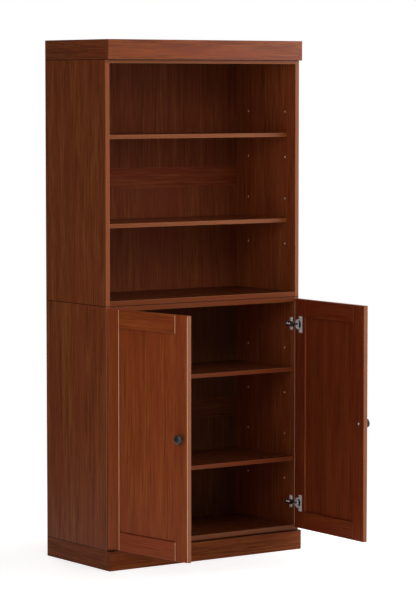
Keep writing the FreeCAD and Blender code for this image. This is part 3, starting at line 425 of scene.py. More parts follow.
boardLook = {  # what every board's look starts from
    # the pale edge colour below is a painted highlight, with some wear
    "worn": (0.50, 0.22, 0.12),
    "bandAndSheenAmount": 0.85,
    "arrisHighlightAmount": 0.6,
    "bandScale": 30.0,
    "poreScale": 560.0,
    "contrast": 2.1,
    "glossTones": (0.35, 0.65),
    "roughnessSpread": 0.05,
    "specular": 0.5,
    "wearHighlightRadius": 0.0015,
    "wearHighlightAmount": 0.6,
    "patchiness": 12.0,
    "grainDepth": 0.00006,
    "chipScale": 480.0,
}
sideCherry = dict(
    boardLook,
    light=(0.335, 0.094, 0.0270),
    middle=(0.250, 0.062, 0.0175),
    dark=(0.160, 0.036, 0.0100),
    red=(0.250, 0.048, 0.0170),
    bandAndSheen=(0.310, 0.082, 0.0280),
    roughness=0.4,
    specular=0.06,
)
# painted light: a brighter copy of the sides' cherry for the right side, its front edge paler as painted
# sheen
litRightSideCherry = dict(
    sideCherry,
    light=(0.375, 0.101, 0.0300),
    middle=(0.285, 0.067, 0.0195),
    dark=(0.184, 0.039, 0.0112),
    red=(0.285, 0.052, 0.0190),
    bandAndSheen=(0.290, 0.104, 0.047),
    roughness=0.36,
    specular=0.08,
)
# painted highlight: a bright line along the lower right side's front arris
litLowerRightCherry = dict(litRightSideCherry, worn=(0.95, 0.58, 0.40), arrisHighlightAmount=1.0)
# painted shade: the shelves, tops and bottoms are a darker copy of the cherry, for the shade inside the case
shadedShelfCherry = dict(
    boardLook,
    light=(0.150, 0.038, 0.0110),
    middle=(0.108, 0.024, 0.0070),
    dark=(0.072, 0.015, 0.0044),
    red=(0.108, 0.020, 0.0066),
    bandAndSheen=(0.275, 0.072, 0.0180),
    worn=(0.46, 0.19, 0.070),
    roughness=0.3,
    specular=0.18,
)
shadedLowerShelfCherry = dict(shadedShelfCherry, bandAndSheen=(0.275, 0.056, 0.0160), worn=(0.48, 0.17, 0.065))
# painted shade: darker still for the boards at the units' seam
shadedSeamCherry = dict(
    shadedShelfCherry,
    light=(0.080, 0.018, 0.0050),
    middle=(0.056, 0.011, 0.0030),
    dark=(0.037, 0.007, 0.0020),
    red=(0.056, 0.009, 0.0029),
    bandAndSheen=(0.200, 0.044, 0.0100),
    worn=(0.34, 0.13, 0.045),
    specular=0.1,
)
# painted light: a brighter copy of the cherry for the doors, with painted highlights on the arrises, painted
# sheen on the forward edges and painted shade on the inner faces
litDoorCherry = dict(
    boardLook,
    light=(0.425, 0.104, 0.0245),
    middle=(0.335, 0.069, 0.0158),
    dark=(0.215, 0.042, 0.0100),
    red=(0.335, 0.052, 0.0158),
    contrast=1.45,
    roughness=0.34,
    specular=0.08,
    worn=(0.92, 0.48, 0.28),
    bandAndSheen=(0.325, 0.130, 0.062),
    innerShade=(0.70, 0.62, 0.75),
    arrisHighlightAmount=0.95,
    patchiness=6.0,
    wearHighlightAmount=0.1,
)
# less of the painted sheen on the right door's hinge stile
rightHingeStile = dict(litDoorCherry, bandAndSheenAmount=0.35)
capCherry = dict(
    boardLook,
    light=(0.325, 0.088, 0.0250),
    middle=(0.245, 0.057, 0.0155),
    dark=(0.162, 0.034, 0.0095),
    red=(0.250, 0.043, 0.0150),
    roughness=0.26,
    specular=0.22,
)
capTopCherry = dict(capCherry, roughness=0.5, specular=0.06)
# darker for the hardboard's print, and partly painted shade inside the case
backBoard = dict(
    boardLook,
    light=(0.250, 0.066, 0.0195),
    middle=(0.191, 0.043, 0.0125),
    dark=(0.126, 0.026, 0.0075),
    red=(0.191, 0.033, 0.0120),
    contrast=1.4,
    roughness=0.62,
    specular=0.08,
    chipScale=1600.0,
)
# painted shade: the lower back panel is darker still
shadedBoard = dict(
    backBoard,
    light=(0.170, 0.058, 0.0205),
    middle=(0.128, 0.039, 0.0135),
    dark=(0.085, 0.025, 0.0083),
    red=(0.128, 0.032, 0.0130),
)
# the upper back rail, darker than the sides as painted shade
railCherry = dict(
    backBoard,
    light=(0.290, 0.068, 0.0200),
    middle=(0.220, 0.044, 0.0126),
    dark=(0.144, 0.027, 0.0078),
    red=(0.220, 0.035, 0.0122),
)
# painted shade: the lower back rail is darker
shadedLowerRailCherry = dict(
    shadedBoard,
    light=(0.205, 0.064, 0.0210),
    middle=(0.155, 0.042, 0.0138),
    dark=(0.102, 0.027, 0.0085),
    red=(0.155, 0.035, 0.0130),
)
# painted shade: a darker, browner copy of the cherry for the plinth, which the doors shade
shadedPlinthCherry = dict(
    boardLook,
    light=(0.262, 0.071, 0.0182),
    middle=(0.198, 0.048, 0.0119),
    dark=(0.131, 0.030, 0.0075),
    red=(0.198, 0.040, 0.0113),
    roughness=0.5,
    specular=0.06,
)


shadowLines = {  # heights of the painted shadow lines: the plinth, the units' seam and the cap, and a door's two rails
    "carcass": {"Low": 0.068, "Middle": 0.9, "High": 1.732},
    "door": {"Low": 0.141, "Middle": 0.141, "High": 0.831},
    "shade": (0.022, 0.006, 0.003),
    "carcassAmount": 0.95,
    "doorAmount": 0.55,
}
pinHoles = {  # middle height and shelf row of each unit's pattern
    "upper": {"Middle_Height": 1.319, "Shelf_Row": 0.151},
    "lower": {"Middle_Height": 0.481, "Shelf_Row": 0.1595},
    "rim": (0.95, 0.72, 0.55),
}


def boardMaterial(
    name, direction, seed, look, raw=None, unit=None, facing=None, plainSide=(0, 0, 0), lines=None
):
    material, tree, surface, place = newMaterial(name)
    own = shifted(tree, place, seed)
    grain = placeGroup(
        tree,
        woodGrain,
        Vector=own,
        Direction=direction,
        **{tone.title(): solid(look[tone]) for tone in ("light", "middle", "dark", "red")},
        Band_Scale=look["bandScale"],
        Pore_Scale=look["poreScale"],
        Contrast=look["contrast"],
    )
    edgeMask = placeGroup(
        tree, patchyEdges, Vector=own, Radius=look["wearHighlightRadius"], Patchiness=look["patchiness"]
    )

    def painted(under, mask, amount, shade):
        return mixColour(tree, times(tree, mask, amount), under, solid(shade))

    # painted highlight, with some wear, along the rounded edges
    colour = painted(grain["Colour"], edgeMask["Mask"], look["wearHighlightAmount"], look["worn"])
    normal = addNode(tree, "ShaderNodeTexCoord").outputs["Normal"]
    # painted shade: a door's inner face is darkened
    if "innerShade" in look:
        inner = placeGroup(tree, innerFaceShade, Normal=normal, Inner_Side=plainSide)["Mask"]
        colour = mixColour(tree, inner, colour, solid(look["innerShade"]), blend="MULTIPLY")
    if facing:
        edge = placeGroup(tree, edgeBandSheen, Normal=normal, Facing=facing, Plain_Side=plainSide)
        # paler edge: its own banding, and painted sheen on edges that face the light
        colour = painted(colour, edge["Band"], look["bandAndSheenAmount"], look["bandAndSheen"])
        # painted highlight along the rounded arris
        colour = painted(colour, edge["Arris Highlight"], look["arrisHighlightAmount"], look["worn"])
    # painted shade along the joints and under the door rails
    if lines:
        shade = placeGroup(tree, shadowLine, Vector=place, **shadowLines[lines])["Mask"]
        colour = painted(colour, shade, shadowLines[f"{lines}Amount"], shadowLines["shade"])
    height = grain["Height"]
    least = look["roughness"] - look["roughnessSpread"]
    most = look["roughness"] + look["roughnessSpread"]
    roughness = spread(tree, grain["Tone"], *look["glossTones"], most, least)
    if raw:  # cut edges and bores show the chipboard inside
        core = placeGroup(tree, chipCore, Vector=place, Chip_Scale=look["chipScale"])
        bare = placeGroup(tree, insideBox, Vector=place, Low=raw[0], High=raw[1])["Mask"]
        colour = mixColour(tree, bare, colour, core["Colour"])
        roughness = spread(tree, bare, 0.0, 1.0, roughness, chips["roughness"])
        height = spread(tree, bare, 0.0, 1.0, height, core["Height"])
    if unit:
        # the holes' pale rims: bare chipboard brightened as a painted highlight
        rims = placeGroup(tree, holeRims, Vector=place, **pinHoles[unit])["Mask"]
        colour = mixColour(tree, rims, colour, solid(pinHoles["rim"]))
    feed(tree, surface["Base Color"], colour)
    feed(tree, surface["Roughness"], roughness)
    feed(tree, surface["Normal"], bump(tree, height, look["grainDepth"]))
    surface["Specular IOR Level"].default_value = look["specular"]
    return material


plainWood = {
    "beech": {"light": (0.66, 0.46, 0.28), "middle": (0.58, 0.38, 0.22), "dark": (0.45, 0.27, 0.14)},
    "pine": {"light": (0.74, 0.55, 0.32), "middle": (0.66, 0.46, 0.24), "dark": (0.50, 0.30, 0.13)},
}
plainWoodFinish = {"roughness": 0.7, "bandScale": 60.0}
plainWoodSeed = 3


def plainWoodMaterial(name, direction):
    look = dict(boardLook, **plainWood[name], **plainWoodFinish)
    look.update(red=look["middle"], worn=look["light"])
    return boardMaterial(name, direction, plainWoodSeed, look)


metals = {
    "nickelPlate": {"colour": (0.80, 0.79, 0.77), "roughness": 0.24, "smears": 0.10},
    "satinNickel": {"colour": (0.97, 0.97, 0.97), "roughness": 0.26, "smears": 0.05, "metallic": 0.1},
    "zincPlate": {"colour": (0.60, 0.60, 0.59), "roughness": 0.26, "smears": 0.16},
    "zincCasting": {"colour": (0.50, 0.50, 0.51), "roughness": 0.42, "smears": 0.20},
    "brownedSteel": {"colour": (0.10, 0.045, 0.025), "roughness": 0.45, "smears": 0.10},
    "nearBlackSteel": {"colour": (0.045, 0.045, 0.045), "roughness": 0.40, "smears": 0.25},
}
dulled = 0.72  # what is left of a metal's colour under smears


def metalMaterial(name):
    look = metals[name]
    material, tree, surface, place = newMaterial(name)
    smeared = placeGroup(tree, handling, Vector=place, Amount=look["smears"])["Mask"]
    duller = solid([dulled * part for part in look["colour"]])
    feed(tree, surface["Base Color"], mixColour(tree, smeared, solid(look["colour"]), duller))
    feed(tree, surface["Roughness"], maths(tree, "ADD", smeared, look["roughness"], clamp=True))
    surface["Metallic"].default_value = look.get("metallic", 1.0)
    return material


knobFinish = {
    "colour": (0.012, 0.012, 0.013),
    "rubbed": (0.05, 0.048, 0.045),
    "rubRadius": 0.0008,
    "rubAmount": 0.5,
    "roughness": 0.22,
    "smears": 0.14,
}


def knobMaterial():
    material, tree, surface, place = newMaterial("blackKnob")
    smeared = placeGroup(tree, handling, Vector=place, Amount=knobFinish["smears"])["Mask"]
    edgeMask = placeGroup(tree, patchyEdges, Vector=place, Radius=knobFinish["rubRadius"])["Mask"]
    rubbed = times(tree, edgeMask, knobFinish["rubAmount"])
    colour = mixColour(tree, rubbed, solid(knobFinish["colour"]), solid(knobFinish["rubbed"]))
    feed(tree, surface["Base Color"], colour)
    feed(tree, surface["Roughness"], maths(tree, "ADD", smeared, knobFinish["roughness"]))
    return material


openAngle = {
    "left": -joints["left_door_hinge"]["range_deg"][0],
    "right": -joints["right_door_hinge"]["range_deg"][0],
}
across, deep, tall = (1, 0, 0), (0, 1, 0), (0, 0, 1)


def openTurn(side):
    return math.radians(openAngle[side]) * (-1 if side == "left" else 1)


def outwardsOf(side):  # the way that an open door's outer face looks
    return Matrix.Rotation(openTurn(side), 3, "Z") @ Vector((0, -1, 0))


def doorAcross(side):  # the direction of an open door's rails
    return (math.cos(openTurn(side)), math.sin(openTurn(side)), 0)


skin = 0.0004  # the laminate's thickness
arris = 0.003  # the front edge is banded, and its arris rounded


def coreBox(node, thin):  # where a board's chipboard shows, inside its faces; thin is its thickness' axis
    low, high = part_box(node)
    boxLow = Vector((0, low.y + arris, 0))
    boxHigh = Vector((0, high.y + skin, 0))
    for axis in (0, 2):
        inset = skin if axis == thin else 2 * skin
        boxLow[axis] = low[axis] + inset
        boxHigh[axis] = high[axis] - inset
    return tuple(boxLow), tuple(boxHigh)


def rearFace(node):  # the bare hardboard of a back panel's rear
    low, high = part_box(node)
    return (low.x - skin, high.y - skin, low.z - skin), (high.x + skin, high.y + skin, high.z + skin)


def dressNode(name, material):
    mesh = nodes[name].data
    mesh.materials.clear()
    mesh.materials.append(material)


grainOf = {  # the parts of a board's name that give its grain's direction
    tall: ("side", "stile", "door_panel", "back_panel"),
    across: (
        "top_panel", "bottom_panel", "shelf", "back_rail", "cap_front", "cap_back", "cap_top",
        "plinth_front", "plinth_back",
    ),
    deep: ("_end",),
}


def directionOf(name):
    if "_door_" in name and name.endswith("_rail"):
        return doorAcross(name.split("_")[0])
    for direction, parts in grainOf.items():
        if any(part in name for part in parts):
            return direction
    return None


looks = {  # by the first of these that a board's name holds
    "right_door_hinge": rightHingeStile,
    "_door_": litDoorCherry,
    "upper_back_rail": railCherry,
    "lower_back_rail": shadedLowerRailCherry,
    "upper_back_panel": backBoard,
    "lower_back_panel": shadedBoard,
    "plinth": shadedPlinthCherry,
    "cap_top": capTopCherry,
    "cap_right": capTopCherry,
    "cap": capCherry,
    "left_side": sideCherry,
    "upper_right_side": litRightSideCherry,
    "lower_right_side": litLowerRightCherry,
    "lower_shelf": shadedLowerShelfCherry,
    "upper_bottom": shadedSeamCherry,
    "lower_top": shadedSeamCherry,
    "": shadedShelfCherry,
}


def finishOf(name):  # what is special about one board, beside its grain
    start = name.split("_")[0]
    if "_door_" in name:
        forwards = Vector(doorAcross(start)) * (1 if start == "left" else -1)
        # a door's edges that face forwards, towards the light, get the painted sheen and arris highlight
        return {
            "facing": None if name.endswith("panel") else tuple(forwards),
            "plainSide": tuple(-outwardsOf(start)),
            "lines": None if name.endswith("stile") else "door",
        }
    finish = {"lines": "carcass"}
    if "back_panel" in name:
        finish["raw"] = rearFace(name)
    elif name.endswith("_side"):
        finish.update(facing=(0, -1, 0), raw=coreBox(name, 0), unit=start)
    elif start not in ("cap", "plinth") and "back_rail" not in name:
        finish.update(facing=(0, -1, 0), raw=coreBox(name, 2))
    return finish


def dressBoards():  # the shelf pins keep a number among the boards, and get their metal below
    named = sorted(name for name in nodes if directionOf(name))
    seeds = {name: seed for seed, name in enumerate(named, start=1) if name != "shelf_pins"}
    for name, seed in seeds.items():
        look = next(look for part, look in looks.items() if part in name)
        dressNode(name, boardMaterial(f"cherry_{name}", directionOf(name), seed, look, **finishOf(name)))
    return seeds


print("boards dressed:", len(dressBoards()))

nickelPlate = metalMaterial("nickelPlate")
satinNickel = metalMaterial("satinNickel")
zincPlate = metalMaterial("zincPlate")
zincCasting = metalMaterial("zincCasting")
brownedSteel = metalMaterial("brownedSteel")
nearBlackSteel = metalMaterial("nearBlackSteel")
blackKnob = knobMaterial()
beech = plainWoodMaterial("beech", across)
pine = plainWoodMaterial("pine", tall)
plainNodes = {
    "cam_locks": zincCasting,
    "cam_bolts": zincPlate,
    "shelf_pins": zincPlate,
    "hinge_arm_screws": zincPlate,
    "hinge_plate_screws": zincPlate,
    "block_screws": brownedSteel,
    "unit_screws": brownedSteel,
    "hinge_arms": nickelPlate,
    "hinge_plates": nickelPlate,
    "wood_dowels": beech,
    "cap_corner_blocks": pine,
    "plinth_corner_blocks": pine,
}
for side in ("left", "right"):
    plainNodes[f"{side}_knob"] = blackKnob
    plainNodes[f"{side}_knob_screw"] = zincPlate
    plainNodes[f"{side}_cup_screws"] = zincPlate
    plainNodes[f"{side}_hinge_cups"] = nickelPlate
    plainNodes[f"{side}_hinge_pins"] = zincPlate
for name, material in plainNodes.items():
    dressNode(name, material)
print("hardware dressed:", len(plainNodes))


mergeDistance = 1e-6  # a node's triangles are loose, and their corners are merged within this


def middleOf(points):
    return sum(points, Vector()) / len(points)


def looseParts(name):  # the solids inside one node, each as a list of its points
    mesh = bmesh.new()
    mesh.from_mesh(nodes[name].data)
    bmesh.ops.remove_doubles(mesh, verts=mesh.verts, dist=mergeDistance)
    unseen = set(mesh.verts)
    parts = []
    for first in mesh.verts:  # in the mesh's own order, so that each run adds points up alike
        if first not in unseen:
            continue
        unseen.remove(first)
        waiting = [first]
        points = []
        while waiting:
            vertex = waiting.pop()
            points.append(vertex.co.copy())
            for edge in vertex.link_edges:
                other = edge.other_vert(vertex)
                if other in unseen:
                    unseen.remove(other)
                    waiting.append(other)
        parts.append(points)
    mesh.free()
    return sorted(parts, key=lambda points: [round(value, 4) for value in middleOf(points)])


facingDigits = 5  # a screw that faces straight down would else get its turn from rounding noise


def screwPlaces(name):  # the tip of each screw, the way that its head faces, and its length
    places = []
    for points in looseParts(name):
        middle = middleOf(points)
        tip = max(points, key=lambda point: (point - middle).length)
        facing = Vector([round(value, facingDigits) for value in (middle - tip).normalized()])
        places.append((tip, facing, max((point - tip).dot(facing) for point in points)))
    return places


def pinPlaces(name):  # the inner end of each pin, the way that it stands out of its side, its length
    places = []
    for points in looseParts(name):
        middle = middleOf(points)
        reach = max(point.x for point in points) - min(point.x for point in points)
        facing = Vector((-math.copysign(1, middle.x), 0, 0))
        places.append((middle - facing * reach / 2, facing, reach))
    return places


def newTree(name, inputs):
    tree = bpy.data.node_groups.new(name, "GeometryNodeTree")
    tree.interface.new_socket("Points", in_out="INPUT", socket_type="NodeSocketGeometry")
    for label, kind in inputs.items():
        tree.interface.new_socket(label, in_out="INPUT", socket_type=f"NodeSocket{kind}")
    tree.interface.new_socket("Geometry", in_out="OUTPUT", socket_type="NodeSocketGeometry")
    return tree, addNode(tree, "NodeGroupInput").outputs, addNode(tree, "NodeGroupOutput").inputs


def onAxis(tree, height):
    return wired(tree, "ShaderNodeCombineXYZ", {"Z": height})[0]


def turnedPart(tree, low, high, radius, steps, sides):  # a round solid along Z
    ends = {"Start": onAxis(tree, low), "End": onAxis(tree, high)}
    line = wired(tree, "GeometryNodeCurvePrimitiveLine", ends)[0]
    dense = wired(tree, "GeometryNodeResampleCurve", {"Count": steps, "Curve": line})[0]
    ring = wired(tree, "GeometryNodeCurvePrimitiveCircle", {"Radius": 1.0, "Resolution": sides})[0]
    inputs = {"Fill Caps": True, "Curve": dense, "Profile Curve": ring, "Scale": radius}
    return wired(tree, "GeometryNodeCurveToMesh", inputs)[0]


def heightField(tree):
    return axesOf(tree, addNode(tree, "GeometryNodeInputPosition").outputs[0])["Z"]


def combined(tree, operation, first, others):
    node = addNode(tree, "GeometryNodeMeshBoolean", operation=operation, solver="EXACT")
    if operation == "DIFFERENCE":
        feed(tree, node.inputs["Mesh 1"], first)
    else:
        others = [first, *others]
    for mesh in others:
        tree.links.new(mesh, node.inputs["Mesh 2"])
    return node.outputs["Mesh"]


def standOnPoints(tree, given, made, part):  # one on each point, its Z along the point's facing
    facing = wired(
        tree, "GeometryNodeInputNamedAttribute", {"Name": "facing"}, data_type="FLOAT_VECTOR"
    )[0]
    aligned = wired(tree, "FunctionNodeAlignRotationToVector", {"Vector": facing}, axis="Z")[0]
    turns = {2: 0.0, 3: 2 * math.pi, "Seed": given["Seed"]}
    turn = wired(tree, "FunctionNodeRandomValue", turns, data_type="FLOAT")[1]
    spin = wired(tree, "FunctionNodeAxisAngleToRotation", {"Axis": (0, 0, 1), "Angle": turn})[0]
    inputs = {"Rotation": aligned, "Rotate By": spin}
    both = wired(tree, "FunctionNodeRotateRotation", inputs, rotation_space="LOCAL")[0]
    inputs = {"Points": given["Points"], "Instance": part, "Rotation": both}
    placed = wired(tree, "GeometryNodeInstanceOnPoints", inputs)[0]
    real = wired(tree, "GeometryNodeRealizeInstances", {"Geometry": placed})[0]
    inputs = {"Geometry": real, "Material": given["Metal"]}
    feed(tree, made["Geometry"], wired(tree, "GeometryNodeSetMaterial", inputs)[0])


screwShape = {
    "headHeight": 0.002,
    "recessWidth": 0.0011,
    "recessDepth": 0.0011,
    "recessRim": 0.0014,
    "recessTaper": 0.55,
    "dome": 0.5,  # how far the head draws in towards its top
    "tip": 0.15,  # the tip's width, as a share of the shank's
    "overlap": 0.3,  # how far the shank runs up inside the head, as a share of its height
    "headSteps": 6,
    "headSides": 28,
    "shankSteps": 9,
    "shankSides": 16,
}


def makeScrewTree():
    tree, given, made = newTree(
        "crossHeadScrew",
        {
            "Head Diameter": "Float",
            "Head Height": "Float",
            "Shank Diameter": "Float",
            "Length": "Float",
            "Recess Width": "Float",
            "Recess Depth": "Float",
            "Recess Reach": "Float",
            "Seed": "Int",
            "Metal": "Material",
        },
    )
    length = given["Length"]
    top = maths(tree, "ADD", length, given["Head Height"])
    height = heightField(tree)
    rise = maths(tree, "DIVIDE", maths(tree, "SUBTRACT", height, length), given["Head Height"])
    fall = times(tree, maths(tree, "POWER", rise, 2.0), screwShape["dome"])
    dome = maths(tree, "SQRT", maths(tree, "SUBTRACT", 1.0, fall))
    headRadius = times(tree, times(tree, given["Head Diameter"], 0.5), dome)
    head = turnedPart(
        tree, length, top, headRadius, screwShape["headSteps"], screwShape["headSides"]
    )

    shankRadius = times(tree, given["Shank Diameter"], 0.5)
    tipWidth = spread(tree, height, 0.0, shankRadius, screwShape["tip"], 1.0)
    shankTop = maths(tree, "ADD", length, times(tree, given["Head Height"], screwShape["overlap"]))
    shankWidth = times(tree, shankRadius, tipWidth)
    shank = turnedPart(
        tree, 0.0, shankTop, shankWidth, screwShape["shankSteps"], screwShape["shankSides"]
    )
    screw = combined(tree, "UNION", head, [shank])

    corner = math.sqrt(2)  # the cone's radius runs to its corners
    base = maths(tree, "SUBTRACT", top, given["Recess Depth"])
    bladeShape = {
        "Vertices": 4, "Radius Top": 1.0, "Radius Bottom": screwShape["recessTaper"], "Depth": 2.0
    }
    blades = []
    for quarter in (0, 1):
        blade = wired(tree, "GeometryNodeMeshCone", bladeShape)["Mesh"]
        inputs = {"Geometry": blade, "Rotation": (0, 0, math.pi / 4)}
        squared = wired(tree, "GeometryNodeTransform", inputs)[0]
        reach = times(tree, given["Recess Reach"], corner)
        width = times(tree, given["Recess Width"], corner / 2)
        sizes = {quarter: reach, 1 - quarter: width, "Z": given["Recess Depth"]}
        size = wired(tree, "ShaderNodeCombineXYZ", sizes)[0]
        inputs = {"Geometry": squared, "Scale": size, "Translation": onAxis(tree, base)}
        blades.append(wired(tree, "GeometryNodeTransform", inputs)[0])
    standOnPoints(tree, given, made, combined(tree, "DIFFERENCE", screw, blades))
    return tree


pinShape = {"diameter": 0.005, "chamfer": 0.0006, "steps": 33, "sides": 20}


def makePinTree():
    tree, given, made = newTree(
        "shelfPin",
        {"Diameter": "Float", "Length": "Float", "Chamfer": "Float", "Seed": "Int", "Metal": "Material"},
    )
    length = given["Length"]
    height = heightField(tree)
    nearest = maths(tree, "MINIMUM", height, maths(tree, "SUBTRACT", length, height))
    lost = maths(tree, "SUBTRACT", given["Chamfer"], nearest)
    radius = times(tree, given["Diameter"], 0.5)
    radius = maths(tree, "SUBTRACT", radius, maths(tree, "MAXIMUM", lost, 0.0))
    pin = turnedPart(tree, 0.0, length, radius, pinShape["steps"], pinShape["sides"])
    standOnPoints(tree, given, made, pin)
    return tree


def stand(name, body, slot, tree, places, settings):
    points = bpy.data.meshes.new(f"{name}Points")
    points.from_pydata([place[0] for place in places], [], [])
    facing = points.attributes.new("facing", "FLOAT_VECTOR", "POINT")
    for index, place in enumerate(places):
        facing.data[index].vector = place[1]
    holder = addObject(f"{name}Points", points)
    modifier = holder.modifiers.new("fastenings", "NODES")
    modifier.node_group = tree
    for item in tree.interface.items_tree:
        if item.in_out == "INPUT" and item.name in settings:
            modifier[item.identifier] = settings[item.name]
    bpy.context.view_layer.update()
    evaluated = holder.evaluated_get(bpy.context.evaluated_depsgraph_get())
    mesh = bpy.data.meshes.new_from_object(evaluated)
    bpy.data.objects.remove(holder)
    finishPiece(f"{name}_made", mesh, body, slot, name)


sharpFrom = 32  # degrees: flatter edges are shaded smooth


def finishPiece(name, mesh, body, slot, *replaced):
    for layer in [layer for layer in mesh.attributes if layer.name == "facing"]:
        mesh.attributes.remove(layer)
    mesh.name = name
    mesh.shade_smooth()
    mesh.set_sharp_from_angle(angle=math.radians(sharpFrom))
    piece = addObject(name, mesh)
    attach(piece, body)
    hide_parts(*replaced)
    return piece


screwSizes = {  # head and shank diameters in metres, and the body that the screws ride
    "hinge_plate_screws": (0.0070, 0.0035, "carcass"),
    "hinge_arm_screws": (0.0070, 0.0040, "carcass"),
    "left_cup_screws": (0.0070, 0.0035, "left_door"),
    "right_cup_screws": (0.0070, 0.0035, "right_door"),
    "left_knob_screw": (0.0090, 0.0040, "left_door"),
    "right_knob_screw": (0.0090, 0.0040, "right_door"),
    "block_screws": (0.0080, 0.0040, "carcass"),
    "unit_screws": (0.0080, 0.0040, "carcass"),
}


def makeFastenings():
    screwTree = makeScrewTree()
    for seed, (name, (head, shank, body)) in enumerate(screwSizes.items()):
        places = screwPlaces(name)
        settings = {
            "Head Diameter": head,
            "Head Height": screwShape["headHeight"],
            "Shank Diameter": shank,
            "Length": places[0][2] - screwShape["headHeight"],
            "Recess Width": screwShape["recessWidth"],
            "Recess Depth": screwShape["recessDepth"],
            "Recess Reach": head / 2 - screwShape["recessRim"],
            "Seed": seed,
            "Metal": plainNodes[name],
        }
        stand(name, body, "zinc_plated_steel", screwTree, places, settings)
    places = pinPlaces("shelf_pins")
    settings = {
        "Diameter": pinShape["diameter"],
        "Length": places[0][2],
        "Chamfer": pinShape["chamfer"],
        "Seed": 0,
        "Metal": plainNodes["shelf_pins"],
    }
    stand("shelf_pins", "carcass", "zinc_plated_steel", makePinTree(), places, settings)


makeFastenings()
print("screws and shelf pins made")


softEdge = {"width": 0.0003, "segments": 2, "angle": 35, "flat": 1}  # angles in degrees


def softened(name, body, slot, material):  # a node's own shape with its pressed edges eased
    mesh = nodes[name].data.copy()
    merged = bmesh.new()
    merged.from_mesh(mesh)
    bmesh.ops.remove_doubles(merged, verts=merged.verts, dist=mergeDistance)
    limit = math.radians(softEdge["flat"])
    bmesh.ops.dissolve_limit(merged, angle_limit=limit, verts=merged.verts, edges=merged.edges)
    merged.to_mesh(mesh)
    merged.free()
    mesh.materials.clear()
    mesh.materials.append(material)
    piece = finishPiece(f"{name}_eased", mesh, body, slot, name)
    bevel = piece.modifiers.new("eased edges", "BEVEL")
    bevel.width = softEdge["width"]
    bevel.segments = softEdge["segments"]
    bevel.limit_method = "ANGLE"
    bevel.angle_limit = math.radians(softEdge["angle"])
    bevel.harden_normals = True
    return piece


knobProfile = [  # radius and height above the door: the screw's bore, the foot, then the face
    (0.0020, 0.0102), (0.0020, 0.0000), (0.0090, 0.0000), (0.0090, 0.0013), (0.0084, 0.0021),
    (0.0070, 0.0028), (0.0065, 0.0040), (0.0064, 0.0075), (0.0070, 0.0097), (0.0088, 0.0109),
    (0.0125, 0.0114), (0.0148, 0.0124), (0.0158, 0.0142), (0.0160, 0.0163), (0.0157, 0.0184),
    (0.0147, 0.0201), (0.0130, 0.0210), (0.0100, 0.0214), (0.0060, 0.0218), (0.0020, 0.0220),
]
knobSides = 64


def makeKnob(side):
    outwards = outwardsOf(side)
    points = looseParts(f"{side}_knob")[0]
    middle = middleOf(points)
    foot = min(point.dot(outwards) for point in points)
    base = middle + outwards * (foot - middle.dot(outwards))
    place = Matrix.Translation(base) @ outwards.to_track_quat("Z", "Y").to_matrix().to_4x4()
    shape = bmesh.new()
    turns = [2 * math.pi * step / knobSides for step in range(knobSides)]
    rings = []
    for radius, height in knobProfile:
        ring = [(radius * math.cos(turn), radius * math.sin(turn), height) for turn in turns]
        rings.append([shape.verts.new(point) for point in ring])
    for lower, upper in zip(rings, rings[1:]):
        for step in range(knobSides):
            after = (step + 1) % knobSides
            shape.faces.new((lower[step], lower[after], upper[after], upper[step]))
    shape.faces.new(reversed(rings[0]))
    shape.faces.new(rings[-1])
    bmesh.ops.transform(shape, matrix=place, verts=shape.verts)
    bmesh.ops.recalc_face_normals(shape, faces=shape.faces)
    mesh = bpy.data.meshes.new(f"{side}_knob")
    shape.to_mesh(mesh)
    shape.free()
    mesh.materials.append(blackKnob)
    finishPiece(f"{side}_knob_turned", mesh, f"{side}_door", "black_knob", f"{side}_knob")


cupFloor = {"depth": 0.008, "squareness": 0.9}


def darkenCup(piece, side):  # the cup's floor, given near-black steel
    inwards = -outwardsOf(side)
    mesh = piece.data
    mesh.materials.append(nearBlackSteel)
    top = max(vertex.co.dot(inwards) for vertex in mesh.vertices)
    for face in mesh.polygons:
        facesOut = face.normal.dot(inwards) > cupFloor["squareness"]
        if facesOut and top - face.center.dot(inwards) > cupFloor["depth"]:
            face.material_index = 1


softened("hinge_arms", "carcass", "nickel_steel", nickelPlate)
softened("hinge_plates", "carcass", "nickel_steel", satinNickel)
for side in ("left", "right"):
    cups = softened(f"{side}_hinge_cups", f"{side}_door", "nickel_steel", satinNickel)
    darkenCup(cups, side)
    makeKnob(side)
print("hinges eased, knobs turned")


stage = {
    "floorSize": 30.0,
    "floorColour": (0.82, 0.82, 0.82),
    "floorLift": 0.70,  # shown on top of the floor's own light, except inside the plinth
    "white": (0.7, 2.2),  # the floor turns plain white between these distances
    "roomLight": (0.06, 0.06, 0.06),
}


def seenDirectly(tree):  # white for the eye, and for what metal and glass show of the room
    rays = addNode(tree, "ShaderNodeLightPath").outputs
    total = maths(tree, "ADD", rays["Is Camera Ray"], rays["Is Glossy Ray"], clamp=True)
    return maths(tree, "ADD", total, rays["Is Transmission Ray"], clamp=True)


def stageSheet(name, corners, material):
    mesh = bpy.data.meshes.new(name)
    mesh.from_pydata(corners, [], [(0, 1, 2, 3)])
    mesh.materials.append(material)
    sheet = addObject(name, mesh)
    return sheet


